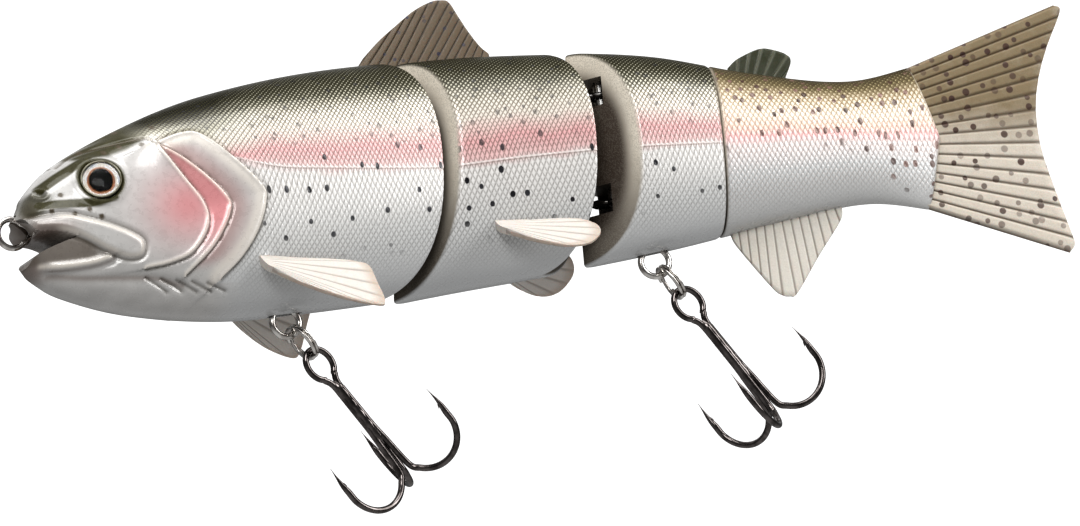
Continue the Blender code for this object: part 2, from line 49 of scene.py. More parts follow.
# Driving sizes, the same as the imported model's
BACK = [(1, -8.5), (4, -3.2), (11, 2.6), (29, 11), (45, 16.3), (70, 21), (98, 23), (124, 22), (148, 19.5),
        (171, 13.9), (192, 10.7), (210, 13.5)]
BELLY = [(1, -18.3), (4, -22.5), (10, -25.8), (24, -29.7), (45, -31.7), (65, -30.7), (98, -27.7),
         (124, -25.7), (148, -23), (174, -18.9), (193, -16.7), (210, -20)]
HALF_WIDTH = [(1, 4.5), (4, 6.4), (10, 8.6), (20, 10.9), (32, 12.7), (45, 13.8), (62, 14.4), (80, 14.5),
              (98, 14.2), (116, 13.7), (135, 12.6), (148, 11.2), (160, 9.6), (181, 7), (193, 5.4), (210, 2.2)]
SECTION_POWER = 2.3
FRONT_HINGE, REAR_HINGE = 98.0, 136.5
FRONT_BEND, REAR_BEND = -17.0, 4.5
HINGE_EYE_HEIGHT, HINGE_EYE_RADIUS, HINGE_EYE_WIRE = 11.8, 2.3, 0.6
HEAD_REAR = (83.5, 0.82, 0.09)
MIDDLE_FRONT = (89.5, 0.97, 0.12)
MIDDLE_REAR = (121.3, 0.93, 0.10)
REAR_FRONT = (129.0, 1.07, 0.05)
SEAM, SEAM_LEAN, GAP = 160.0, 0.055, 0.3
TIE_DEPTH = -11.7
TIE_RADIUS, TIE_WIRE = 3.1, 0.63
FRONT_HANGER, REAR_HANGER = (59.3, -32.7), (143.4, -25.5)
HANGER_RADIUS, HANGER_WIRE = 3.1, 0.7
RING_DROP, RING_RADIUS = 5.45, 3.8
HOOK_SWING = {"front": 35.0, "rear": 32.0}
TREBLE_EYE_DROP, TREBLE_LENGTH, TREBLE_GAPE, TREBLE_POINT = 6.0, 32.3, 15.5, 17.6

# The lateral line's height, and the eye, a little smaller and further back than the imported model's
LATERAL = [(30, 5.0), (46.8, 0.1), (54.8, -2.0), (62.8, -2.7), (94, -3.4), (117, -2.7), (142, -2.4),
           (175, -2.7), (208, -3.7)]
EYE_PLACE, EYE_AXIS, EYE_RADIUS = (17.4, -3.0), (-0.30, -0.92, 0.24), 4.0


# ---------------------------------------------------------------- curves and the body's form


def curve_value(points, x):
    """Cubic curve through (station, value) points; x may be an array."""
    p = np.array(points, float)
    px, py = p[:, 0], p[:, 1]
    low, high = np.maximum(np.arange(len(px)) - 1, 0), np.minimum(np.arange(len(px)) + 1, len(px) - 1)
    slope = (py[high] - py[low]) / (px[high] - px[low])
    x = np.clip(np.asarray(x, float), px[0], px[-1])
    i = np.clip(np.searchsorted(px, x, "right") - 1, 0, len(px) - 2)
    run = px[i + 1] - px[i]
    t = (x - px[i]) / run
    return (
        (2 * t**3 - 3 * t**2 + 1) * py[i]
        + (t**3 - 2 * t**2 + t) * run * slope[i]
        + (3 * t**2 - 2 * t**3) * py[i + 1]
        + (t**3 - t**2) * run * slope[i + 1]
    )


def smoothed(points, count):
    """count points along a Catmull-Rom curve through the given points, evenly spaced."""
    p = np.array(points, float)
    p = np.vstack([2 * p[0] - p[1], p, 2 * p[-1] - p[-2]])
    out = []
    for k in range(1, len(p) - 2):
        for t in np.linspace(0, 1, 24, endpoint=False):
            out.append(
                0.5
                * (
                    2 * p[k]
                    + (p[k + 1] - p[k - 1]) * t
                    + (2 * p[k - 1] - 5 * p[k] + 4 * p[k + 1] - p[k + 2]) * t**2
                    + (3 * p[k] - p[k - 1] - 3 * p[k + 1] + p[k + 2]) * t**3
                )
            )
    out.append(p[-2])
    out = np.array(out)
    length = np.concatenate([[0], np.cumsum(np.linalg.norm(np.diff(out, axis=0), axis=1))])
    where = np.linspace(0, length[-1], count)
    return np.stack([np.interp(where, length, out[:, c]) for c in range(out.shape[1])], 1)


def step(low, high, value):
    """Smooth rise from 0 at low to 1 at high."""
    t = np.clip((value - low) / (high - low), 0, 1)
    return t * t * (3 - 2 * t)


def body_at(x):
    """Centre height, half height and half width of the body."""
    top, bottom = curve_value(BACK, x), curve_value(BELLY, x)
    return (top + bottom) / 2, (top - bottom) / 2, curve_value(HALF_WIDTH, x)


def outer_point(x, angle):
    """The point of the body's outline at a station, an angle round it from the fish's right."""
    centre, high, wide = body_at(x)
    c, s = np.cos(angle), np.sin(angle)
    y = wide * np.sign(c) * np.abs(c) ** (2 / SECTION_POWER)
    z = centre + high * np.sign(s) * np.abs(s) ** (2 / SECTION_POWER)
    return np.stack([x + 0 * y, y, z], -1)


def surface_y(x, z):
    """Half width of the body at a station and height."""
    centre, high, wide = body_at(x)
    up = np.clip(np.abs(z - centre) / high, 0, 1)
    return wide * (1 - up**SECTION_POWER) ** (1 / SECTION_POWER)


def face_x(face, y, z):
    """Station of a wedge-shaped joint face, its ridge a little rounded."""
    ridge, slope, lean = face
    return ridge + slope * (np.sqrt(y * y + 0.5) - 0.7) + lean * z


def face_end(face, angle):
    """Where a section's outline meets a joint face, for each angle round the section."""
    x = np.full_like(angle, face[0] + 6.0)
    for _ in range(25):
        point = outer_point(x, angle)
        x = face_x(face, point[:, 1], point[:, 2])
    return x


def nose_x(angle):
    return np.full_like(angle, NOSE_RIM)


# ---------------------------------------------------------------- making pieces


BEND = {
    "head": Matrix.Identity(4),
    "middle": Matrix.Translation((FRONT_HINGE, 0, 0))
    @ Matrix.Rotation(radians(FRONT_BEND), 4, "Z")
    @ Matrix.Translation((-FRONT_HINGE, 0, 0)),
}
BEND["rear"] = (
    BEND["middle"]
    @ Matrix.Translation((REAR_HINGE, 0, 0))
    @ Matrix.Rotation(radians(REAR_BEND), 4, "Z")
    @ Matrix.Translation((-REAR_HINGE, 0, 0))
)
for end, (x, z), parent in (("front", FRONT_HANGER, "head"), ("rear", REAR_HANGER, "rear")):
    BEND[end + "_ring"] = (
        BEND[parent] @ Matrix.Translation((x, 0, z)) @ Matrix.Rotation(radians(-HOOK_SWING[end]), 4, "Y")
    )
    BEND[end + "_hook"] = BEND[end + "_ring"] @ Matrix.Translation((0, 0, -RING_DROP))


def to_world(points, body):
    """Straight-lure millimetres to metres in the frame, at the body's rest pose."""
    m = np.array(BEND[body])
    out = np.asarray(points, float) @ m[:3, :3].T + m[:3, 3]
    out[:, 2] -= TIE_DEPTH
    return out * MM


def place(name, points, faces, body, look, stands_for=(), attributes=None):
    """A mesh piece that rides on a body. Its attributes keep what its material reads."""
    mesh = bpy.data.meshes.new(name)
    mesh.from_pydata(to_world(points, body).tolist(), [], [tuple(int(i) for i in f) for f in faces])
    mesh.materials.append(look)
    values = {"fish": np.asarray(points, float)}
    values.update(attributes or {})
    for key, value in values.items():
        layer = mesh.attributes.new(key, "FLOAT_VECTOR", "POINT")
        layer.data.foreach_set("vector", np.ascontiguousarray(value, dtype=np.float32).ravel())
    mesh.shade_smooth()
    mesh.set_sharp_from_angle(angle=radians(50))
    mesh.update()
    thing = bpy.data.objects.new(name, mesh)
    bpy.context.scene.collection.objects.link(thing)
    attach(thing, body)
    if stands_for:
        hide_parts(*stands_for)


def grid_faces(rows, columns, wrap=True, offset=0, flip=False):
    faces = []
    for r in range(rows - 1):
        for c in range(columns if wrap else columns - 1):
            d = (c + 1) % columns
            quad = (r * columns + c, r * columns + d, (r + 1) * columns + d, (r + 1) * columns + c)
            faces.append(tuple(offset + q for q in (quad[::-1] if flip else quad)))
    return faces


def closed_rings(rings, ends, flip=False):
    """Points and faces of rings of points, closed over a middle point at either end."""
    around = len(rings[0])
    count = len(rings) * around
    faces = grid_faces(len(rings), around)
    for j in range(around):
        k = (j + 1) % around
        faces.append((k, j, count))
        faces.append((count - around + j, count - around + k, count + 1))
    if flip:
        faces = [face[::-1] for face in faces]
    return np.vstack([*rings, *ends]), faces


def tube(path, radius, sides, squash=1.0, closed=False, side_hint=(0, 1, 0)):
    """Points and faces of a round wire along a path; radius may vary along it."""
    path = np.asarray(path, float)
    count = len(path)
    radius = np.broadcast_to(radius, (count,))
    if closed:
        tangent = np.roll(path, -1, 0) - np.roll(path, 1, 0)
    else:
        tangent = np.gradient(path, axis=0)
    tangent /= np.linalg.norm(tangent, axis=1)[:, None]
    side = np.array(side_hint, float)
    rings = []
    for k in range(count):
        side = side - tangent[k] * side.dot(tangent[k])
        side /= np.linalg.norm(side)
        other = np.cross(tangent[k], side)
        a = 2 * pi * np.arange(sides) / sides
        rings.append(
            path[k] + radius[k] * (np.cos(a)[:, None] * side * squash + np.sin(a)[:, None] * other)
        )
    points = np.vstack(rings)
    faces = grid_faces(count, sides)
    if closed:
        last = (count - 1) * sides
        faces += [(last + j, last + (j + 1) % sides, (j + 1) % sides, j) for j in range(sides)]
    else:
        faces.append(tuple(range(sides))[::-1])
        faces.append(tuple(range((count - 1) * sides, count * sides)))
    return points, faces


def joined(*pieces):
    points, faces, start = [], [], 0
    for p, f in pieces:
        points.append(p)
        faces += [tuple(i + start for i in face) for face in f]
        start += len(p)
    return np.vstack(points), faces


# ---------------------------------------------------------------- materials


class Nodes:
    """Short ways to add nodes to a tree."""

    def __init__(self, tree):
        self.tree = tree

    def node(self, kind, **settings):
        made = self.tree.nodes.new("ShaderNode" + kind)
        for key, value in settings.items():
            setattr(made, key, value)
        return made

    def feed(self, socket, value):
        """Link another node's output to a socket, or set the socket's constant."""
        if isinstance(value, bpy.types.NodeSocket):
            self.tree.links.new(value, socket)
        elif isinstance(value, tuple) and len(value) == 3 and len(socket.default_value) == 4:
            socket.default_value = (*value, 1)
        else:
            socket.default_value = value

    def attribute(self, name):
        """X, Y and Z of a vector kept on the mesh, and the vector itself."""
        read = self.node("Attribute", attribute_name=name)
        return *self.parts(read.outputs["Vector"]), read.outputs["Vector"]

    def parts(self, vector):
        split = self.node("SeparateXYZ")
        self.feed(split.inputs[0], vector)
        return split.outputs

    def math(self, operation, a, b=0.0, c=0.0, clamp=False):
        made = self.node("Math", operation=operation, use_clamp=clamp)
        for socket, value in zip(made.inputs, (a, b, c)):
            self.feed(socket, value)
        return made.outputs[0]

    def plus(self, a, b, clamp=False):
        return self.math("ADD", a, b, clamp=clamp)

    def minus(self, a, b, clamp=False):
        return self.math("SUBTRACT", a, b, clamp=clamp)

    def times(self, a, *factors):
        for factor in factors:
            a = self.math("MULTIPLY", a, factor)
        return a

    def times_plus(self, a, factor, offset):
        return self.math("MULTIPLY_ADD", a, factor, offset)

    def rise(self, value, low, high, to_low=0.0, to_high=1.0):
        made = self.node("MapRange", interpolation_type="SMOOTHSTEP")
        for socket, v in zip(made.inputs, (value, low, high, to_low, to_high)):
            self.feed(socket, v)
        return made.outputs[0]

    def mix(self, factor, a, b):
        made = self.node("Mix", data_type="RGBA")
        self.feed(made.inputs[0], factor)
        self.feed(made.inputs[6], a)
        self.feed(made.inputs[7], b)
        return made.outputs[2]

    def layered(self, colour, *layers):
        """A colour under layers, each given as how much of it there is and its colour."""
        for amount, over in layers:
            colour = self.mix(amount, colour, over)
        return colour

    def ramp(self, value, stops):
        made = self.node("ValToRGB")
        elements = made.color_ramp.elements
        while len(elements) < len(stops):
            elements.new(0.5)
        for element, (position, colour) in zip(elements, stops):
            element.position = position
            element.color = (*colour, 1)
        self.feed(made.inputs[0], value)
        return made.outputs[0]

    def vector(self, x, y):
        made = self.node("CombineXYZ")
        self.feed(made.inputs[0], x)
        self.feed(made.inputs[1], y)
        return made.outputs[0]

    def noise(self, vector, scale, detail):
        made = self.node("TexNoise")
        self.feed(made.inputs["Vector"], vector)
        self.feed(made.inputs["Scale"], scale)
        self.feed(made.inputs["Detail"], detail)
        return made.outputs["Fac"]

    def spots(self, vector, spacing, radius, share):
        """1 in round spots about spacing apart, of which a share is kept, and a random value for each."""
        made = self.node("TexVoronoi", voronoi_dimensions="2D")
        self.feed(made.inputs["Vector"], vector)
        self.feed(made.inputs["Scale"], 1 / spacing)
        self.feed(made.inputs["Randomness"], 0.85)
        split = self.node("SeparateColor")
        self.feed(split.inputs[0], made.outputs["Color"])
        kept = self.math("LESS_THAN", split.outputs[0], share)
        reach = self.math("MULTIPLY_ADD", split.outputs[1], 0.35 * radius / spacing, 0.75 * radius / spacing)
        inner = self.times(reach, 0.72)
        round_spot = self.rise(made.outputs["Distance"], inner, reach, 1.0, 0.0)
        return self.times(round_spot, kept), split.outputs[2]

    def bump(self, height, distance, strength, normal=None):
        made = self.node("Bump")
        made.inputs["Strength"].default_value = strength
        made.inputs["Distance"].default_value = distance
        self.feed(made.inputs["Height"], height)
        if normal is not None:
            self.feed(made.inputs["Normal"], normal)
        return made.outputs[0]


class Look(Nodes):
    """A material of one principled shader."""

    def __init__(self, name, **constants):
        self.material = bpy.data.materials.new(name)
        self.material.use_nodes = True
        super().__init__(self.material.node_tree)
        self.set(**constants)

    def set(self, **values):
        shader = self.tree.nodes["Principled BSDF"]
        for key, value in values.items():
            self.feed(shader.inputs[key.replace("_", " ")], value)

    def finish(self, colour, roughness, normal):
        self.set(Base_Color=colour, Roughness=roughness, Normal=normal)
        return self.material


# Paint of the hard segments and of the soft tail. Colours run from the belly (level 0) over the lateral line
# (0.5) to the back (1): ground between the scales, crown on them.
HARD_PAINT = {
    "coat": 0.28,
    "low_scale": (1.2, 1.7),
    "high_scale": (1.05, 1.3),
    "stroke": 1.0,
    "stroke_colour": (0.085, 0.07, 0.05),
    "relief": 0.55,
    "levels": (0.0, 0.22, 0.47, 0.52, 0.59, 0.69, 0.76, 0.84, 1.0),
    "ground": [(0.42, 0.43, 0.435), (0.40, 0.405, 0.405), (0.37, 0.355, 0.34), (0.33, 0.20, 0.19),
               (0.31, 0.15, 0.145), (0.27, 0.225, 0.175), (0.17, 0.15, 0.105), (0.030, 0.029, 0.014),
               (0.006, 0.006, 0.003)],
    "crown": [(0.52, 0.525, 0.525), (0.62, 0.62, 0.61), (0.68, 0.66, 0.64), (0.66, 0.45, 0.44),
              (0.69, 0.39, 0.39), (0.69, 0.63, 0.565), (0.68, 0.64, 0.565), (0.46, 0.44, 0.35),
              (0.055, 0.053, 0.026)],
}
SOFT_PAINT = {
    "coat": 0.1,
    "low_scale": (1.2, 1.5),
    "high_scale": (1.2, 1.5),
    "stroke": 0.8,
    "stroke_colour": (0.22, 0.15, 0.10),
    "relief": 0.8,
    "levels": (0.0, 0.30, 0.47, 0.53, 0.60, 0.68, 0.80, 0.90, 1.0),
    "ground": [(0.40, 0.40, 0.395), (0.36, 0.365, 0.37), (0.38, 0.32, 0.31), (0.44, 0.22, 0.235),
               (0.46, 0.30, 0.24), (0.44, 0.35, 0.22), (0.30, 0.23, 0.13), (0.10, 0.08, 0.04),
               (0.02, 0.018, 0.01)],
    "crown": [(0.53, 0.53, 0.52), (0.56, 0.565, 0.565), (0.64, 0.575, 0.56), (0.76, 0.46, 0.45),
              (0.74, 0.56, 0.46), (0.72, 0.635, 0.55), (0.54, 0.47, 0.365), (0.30, 0.25, 0.14),
              (0.06, 0.055, 0.03)],
}


class SkinLook(Look):
    """Trout paint: olive back, pink stripe, pearl belly, scales, spots, cream joint faces, painted highlights
    and shade.
    """

    def __init__(self, name, paint):
        super().__init__(name, Metallic=0.12, Coat_Roughness=0.08)
        self.paint = paint
        self.soft = paint is SOFT_PAINT
        self.x, _, self.z, self.position = self.attribute("fish")
        self.u, self.w, self.outer, _ = self.attribute("skin")
        self.g, self.rim, self.smooth_head, _ = self.attribute("paint")
        self.olive, self.line, self.blush, _ = self.attribute("marks")
        # relief holds the painted highlights on the head's raised beads, the painted shade and the height
        # above the lateral line
        self.bead_highlight, self.shade, self.above, _ = self.attribute("relief")
        self.cloud = self.noise(self.position, 0.16, 4.0)
        self.behind = self.rise(self.x, 40.0, 56.0)
        bare = self.minus(1.0, self.smooth_head, clamp=True)
        self.scaly = self.times(bare, self.rise(self.g, -0.95, -0.55, 0.12, 1.0))
        self.upper = self.rise(self.above, -0.05, 0.05)
        self.a, self.b = self.scale_sides()
        self.crest = self.times(self.a, self.minus(1.0, self.a))

    def lattice(self, length, height):
        """Where a point lies on its diamond scale: 0 to 1 across each pair of its sides."""
        along, around = self.math("DIVIDE", self.u, length), self.math("DIVIDE", self.w, height)
        return self.math("FRACT", self.plus(along, around)), self.math("FRACT", self.minus(along, around))

    def scale_sides(self):
        """The lattice of small scales above the lateral line and of taller ones below it."""
        low, high = self.lattice(*self.paint["low_scale"]), self.lattice(*self.paint["high_scale"])
        return [self.times_plus(self.upper, self.minus(end, start), start) for start, end in zip(low, high)]

    def level(self):
        """0 at the belly, 0.5 at the lateral line and 1 at the back, a little clouded."""
        level = self.times_plus(self.minus(self.cloud, 0.5), 0.07, self.times_plus(self.g, 0.5, 0.5))
        if self.soft:
            return level
        return self.times_plus(self.upper, self.rise(self.x, 36.0, 56.0, 0.2, 0.0), level)

    def scale_colour(self):
        """Pale crowns on darker ground, each scale with a dark stroke along its two rear sides."""
        a, b, g = self.a, self.b, self.g
        edge_a = self.math("MINIMUM", a, self.minus(1.0, a))
        edge_b = self.math("MINIMUM", b, self.minus(1.0, b))
        edge = self.math("MINIMUM", self.times(edge_a, 1.3), edge_b)
        shrink = self.rise(self.plus(g, self.times(self.cloud, 0.15)), 0.40, 0.95, 0.0, 0.30)
        core = self.rise(self.minus(edge, shrink), -0.02, 0.16)
        level = self.level()
        ground, crown = (self.ramp(level, list(zip(self.paint["levels"], self.paint[key])))
                         for key in ("ground", "crown"))
        colour = self.mix(self.times_plus(self.scaly, self.minus(core, 0.65), 0.65), ground, crown)
        other_crest = self.times(b, self.minus(1.0, b))
        stroke_b = self.times(self.rise(b, 0.62, 0.92), self.rise(self.crest, 0.02, 0.17))
        stroke_a = self.times(self.rise(a, 0.62, 0.92, 0.0, 0.8), self.rise(other_crest, 0.02, 0.17))
        depth = self.rise(g, 0.45, 0.8, self.rise(g, 0.0, 0.1, 0.5, 0.75), 0.25)
        stroke = self.times(self.math("MAXIMUM", stroke_a, stroke_b), depth, self.scaly, self.paint["stroke"])
        return self.mix(stroke, colour, self.paint["stroke_colour"])

    def with_head(self, colour):
        """The smooth head: pearl with olive bands, blushed cheek, brown lips, painted shade and painted
        highlights.
        """
        grain = self.noise(self.position, 1.3, 4.0)
        olive = self.mix(grain, (0.022, 0.020, 0.008), (0.065, 0.060, 0.027))
        pearl = self.layered(
            self.mix(self.noise(self.position, 0.25, 2.0), (0.36, 0.352, 0.34), (0.50, 0.49, 0.475)),
            (self.times(grain, 0.05), (0.36, 0.34, 0.32)),
            (self.blush, (0.58, 0.22, 0.23)),
            # painted shade by the plates and jaws, and brown on the lips
            (self.shade, (0.15, 0.105, 0.085)),
            (self.olive, olive),
        )
        return self.layered(
            colour,
            (self.smooth_head, pearl),
            # painted highlights on the head's raised beads
            (self.times(self.bead_highlight, 0.65), (0.74, 0.68, 0.60)),
            (self.times(self.line, 0.8), (0.07, 0.055, 0.035)),
        )

    def with_lateral_line(self, colour):
        """A pale thread over a dark edge."""
        pale = self.rise(self.math("ABSOLUTE", self.above), 0.1, 0.26, 1.0, 0.0)
        under = self.rise(self.math("ABSOLUTE", self.plus(self.above, 0.36)), 0.08, 0.24, 1.0, 0.0)
        return self.layered(
            colour,
            (self.times(under, self.behind, 0.4), (0.10, 0.08, 0.06)),
            (self.times(pale, self.behind, 0.6), (0.70, 0.66, 0.63)),
        )

    def with_soft_spots(self, colour):
        """Brown spots, thick towards the tail's root."""
        zone = self.rise(self.plus(self.g, self.rise(self.x, 185.0, 205.0, 0.0, 0.8)), -0.25, 0.05)
        spot, tone = self.spots(self.vector(self.u, self.w), 2.9, 0.66, 0.72)
        spot = self.times(spot, self.rise(self.g, 0.75, 1.0, 1.0, 0.4))
        ink = self.mix(tone, (0.035, 0.018, 0.014), (0.20, 0.12, 0.10))
        return self.mix(self.times(spot, zone, 0.92), colour, ink)

    def with_hard_spots(self, colour):
        """Black spots, crisp below the lateral line and fainter above it, with small ones on the flank."""
        zone = self.rise(self.plus(self.g, self.times(self.cloud, 0.3)), -0.62, -0.3)
        spot, tone = self.spots(self.vector(self.u, self.w), 4.6, 0.64, 0.62)
        faint = self.rise(self.g, 0.02, 0.35, 1.0, 0.5)
        ink = self.mix(tone, (0.004, 0.004, 0.006), (0.03, 0.03, 0.035))
        colour = self.mix(self.times(spot, self.behind, self.scaly, faint, zone), colour, ink)
        small, _ = self.spots(self.vector(self.plus(self.u, 31.0), self.w), 3.6, 0.5, 0.5)
        where = self.times(self.scaly, self.rise(self.g, 0.08, 0.3, 0.0, 0.55))
        return self.mix(self.times(small, where), colour, (0.03, 0.03, 0.035))

    def face_colour(self):
        """Joint faces: cream at the rim with grey overspray, with painted shade deeper in and lower down."""
        grain = self.rise(self.noise(self.position, 4.5, 2.0), 0.46, 0.6)
        speckle = self.times(self.rise(self.rim, 0.0, 3.4, 1.0, 0.35), grain)
        return self.layered(
            self.mix(self.noise(self.position, 0.6, 3.0), (0.60, 0.54, 0.45), (0.70, 0.65, 0.56)),
            # painted shade: darker deeper into the gap and towards the bottom
            (self.rise(self.rim, 1.0, 4.2), (0.035, 0.022, 0.014)),
            (self.rise(self.z, -22.0, 2.0, 0.85, 0.0), (0.03, 0.02, 0.013)),
            (self.times(speckle, 0.6), (0.26, 0.24, 0.20)),
            # the mouth's painted shadow
            (self.shade, (0.07, 0.05, 0.035)),
        )

    def surface(self):
        """Roughness and normal: each scale's raised rear edge and a fine unevenness."""
        height = self.times(self.minus(1.0, self.b), self.times_plus(self.crest, 2.4, 0.4))
        height = self.times(height, self.scaly, self.outer)
        normal = self.bump(height, 0.0002, self.paint["relief"])
        normal = self.bump(self.noise(self.position, 1.0, 3.0), 0.00001, 0.2, normal)
        rough = self.rise(self.noise(self.position, 0.7, 3.0), 0.3, 0.7, 0.24, 0.36)
        return self.times_plus(self.minus(1.0, self.outer), 0.25, rough), normal

    def made(self):
        colour = self.with_head(self.scale_colour())
        if self.soft:
            colour = self.with_soft_spots(colour)
        else:
            colour = self.with_hard_spots(self.with_lateral_line(colour))
        colour = self.mix(self.outer, self.face_colour(), colour)
        # The back is duller than the sides
        coat = self.rise(self.g, 0.5, 0.8, self.paint["coat"], 0.0)
        gloss = self.times(self.rise(self.g, 0.45, 0.85, 0.5, 0.03), self.times_plus(self.olive, -0.75, 1.0))
        self.set(Coat_Weight=coat, Specular_IOR_Level=gloss)
        return self.finish(colour, *self.surface())


def fin_look(name, pale, dark, ray, groove, spots=None, rim=None):
    """Ribbed fin: clouded between two colours, painted shade in the ray grooves; spots is (share, ink, size).
    """
    look = Look(name, Subsurface_Weight=0.08, Subsurface_Scale=0.002, Specular_IOR_Level=0.3)
    rays, out, across, _ = look.attribute("ray")
    x, _, z, position = look.attribute("fish")
    cloud = look.noise(position, 0.35, 4.0)
    tone = look.plus(across, look.times(look.minus(cloud, 0.5), 0.5), clamp=True)
    colour = look.mix(tone, pale, dark)
    colour = look.mix(look.times(look.noise(position, 3.2, 3.0), 0.35), colour, ray)
    # painted shade in the grooves between the rays
    phase = look.math("ABSOLUTE", look.minus(look.math("FRACT", rays), 0.5))
    line = look.rise(phase, 0.32, 0.5)
    colour = look.mix(look.times(line, groove), colour, ray)
    if spots:
        share, ink, size = spots
        spot, strength = look.spots(look.vector(x, z), 3.875 * size, size, share)
        colour = look.mix(look.times(spot, look.rise(strength, 0.0, 1.0, 0.95, 0.45)), colour, ink)
    if rim is not None:
        colour = look.mix(look.rise(out, 0.86, 0.99, 0.0, 0.8), colour, rim)
    normal = look.bump(look.noise(position, 2.6, 4.0), 0.00008, 0.4)
    rough = look.rise(cloud, 0.3, 0.7, 0.32, 0.48)
    return look.finish(colour, rough, normal)


def metal_look(name, bright, dull, roughness, fine=1.2):
    """Plated wire: slight tarnish, drawing marks and a varied polish."""
    look = Look(name, Metallic=1.0)
    position = look.attribute("fish")[3]
    tarnish = look.rise(look.noise(position, 0.5, 4.0), 0.35, 0.72)
    colour = look.mix(tarnish, bright, dull)
    rough = look.rise(look.noise(position, fine, 3.0), 0.3, 0.75, roughness, roughness * 1.9)
    normal = look.bump(look.noise(position, fine * 2.5, 3.0), 0.00003, 0.3)
    return look.finish(colour, rough, normal)


FOIL_SHEEN = [
    (0.30, (0.30, 0.34, 0.42)),
    (0.45, (0.66, 0.66, 0.66)),
    (0.55, (0.50, 0.44, 0.36)),
    (0.70, (0.78, 0.80, 0.82)),
]


def eye_foil_look():
    """Printed iris: black pupil, copper ring and silver holographic foil, by distance from the eye's axis."""
    look = Look("eye_foil_print")
    radial, turn, _, spin = look.attribute("eye")
    wobble = look.times(look.minus(look.noise(spin, 1.3, 2.0), 0.5), 0.35)
    r = look.plus(radial, wobble)
    foil = look.ramp(look.noise(look.vector(turn, radial), 1.6, 2.0), FOIL_SHEEN)
    colour = look.mix(look.rise(r, 2.75, 3.0), (0.30, 0.12, 0.05), foil)
    colour = look.mix(look.rise(r, 2.4, 2.5), (0.002, 0.002, 0.002), colour)
    colour = look.mix(look.rise(radial, 3.6, 3.8), colour, (0.05, 0.045, 0.04))
    look.set(Specular_IOR_Level=look.rise(r, 2.4, 2.7, 0.05, 0.6))
    normal = look.bump(look.noise(spin, 4.0, 2.0), 0.00005, 0.4)
    return look.finish(colour, look.rise(r, 2.4, 2.7, 0.3, 0.26), normal)


def lens_look():
    look = Look("eye_dome", Transmission_Weight=1.0, IOR=1.16)
    position = look.attribute("fish")[3]
    colour = look.mix(look.noise(position, 0.8, 2.0), (0.97, 0.97, 0.96), (1.0, 1.0, 1.0))
    return look.finish(colour, 0.03, look.bump(look.noise(position, 1.0, 2.0), 0.00001, 0.1))


def inner_look(name, dark, pale, metallic, roughness):
    """For CAD pieces hidden inside: a mottled cast or moulded surface."""
    look = Look(name, Metallic=metallic)
    coordinates = look.node("TexCoord").outputs["Object"]
    speck = look.noise(coordinates, 700.0, 4.0)
    colour = look.mix(speck, dark, pale)
    rough = look.rise(look.noise(coordinates, 300.0, 2.0), 0.3, 0.7, roughness * 0.8, roughness * 1.2)
    return look.finish(colour, rough, look.bump(speck, 0.0001, 0.4))


SKIN = SkinLook("trout_paint", HARD_PAINT).made()
SOFT_SKIN = SkinLook("soft_tail_paint", SOFT_PAINT).made()
DORSAL = fin_look(
    "dorsal_fin_plastic", (0.135, 0.10, 0.065), (0.065, 0.048, 0.032), (0.02, 0.014, 0.008), 0.9,
    (0.2, (0.03, 0.03, 0.05), 0.5),
)
CAUDAL = fin_look(
    "caudal_fin_plastic", (0.56, 0.51, 0.44), (0.20, 0.155, 0.09), (0.085, 0.06, 0.038), 0.8,
    (0.75, (0.05, 0.025, 0.02), 0.85),
)
ANAL = fin_look("anal_fin_plastic", (0.62, 0.59, 0.53), (0.42, 0.39, 0.34), (0.15, 0.12, 0.10), 0.75)
ADIPOSE = fin_look(
    "adipose_fin_plastic", (0.018, 0.021, 0.009), (0.01, 0.012, 0.005), (0.09, 0.09, 0.055), 0.7,
    (0.2, (0.005, 0.005, 0.005), 0.6),
)
PEARL_FIN = fin_look(
    "pearl_fin_plastic", (0.60, 0.57, 0.53), (0.44, 0.41, 0.37), (0.22, 0.18, 0.15), 0.65,
    rim=(0.40, 0.33, 0.27),
)
NICKEL = metal_look("nickel_wire", (0.68, 0.66, 0.63), (0.36, 0.33, 0.31), 0.12, 0.8)
BLACK_NICKEL = metal_look("black_nickel_wire", (0.15, 0.135, 0.13), (0.06, 0.053, 0.05), 0.10, 0.6)
STEEL = metal_look("dark_steel_wire", (0.16, 0.155, 0.15), (0.06, 0.055, 0.05), 0.2)
IRIS = eye_foil_look()
LENS = lens_look()
ORBIT = metal_look("eye_rim_paint", (0.20, 0.19, 0.15), (0.08, 0.075, 0.05), 0.3)


# ---------------------------------------------------------------- painted segments


SLOT_AHEAD, SLOT_BEHIND = 18.0, 4.2  # reach of a slot from its hinge, towards the snout and towards the tail
SLOT_HALF_WIDTH, SLOT_HALF_HEIGHT = 6.2, 3.1
DISC_SIDES = 32
NOSE_RIM, NOSE_FACE = 1.0, 0.35  # stations of the nose's edge and of its flat front
TAIL_ROOT = (210.5, -0.28, -3.5)  # the soft tail's last station, its slope up and down, and at what height
RIM_RADIUS = 0.8  # of the rounded edges of the joint faces
RIM_INSET = 0.85  # how far the rounding reaches into the face, as a share of its radius


def shares(length, parts):
    """Places from 0 to 1 along a skin, in parts given by their end and the spacing of their rows."""
    out = [0.0]
    for end, spacing in parts:
        count = max(2, int(round((end - out[-1]) * length / spacing)))
        out.extend(np.linspace(out[-1], end, count + 1)[1:])
    return out


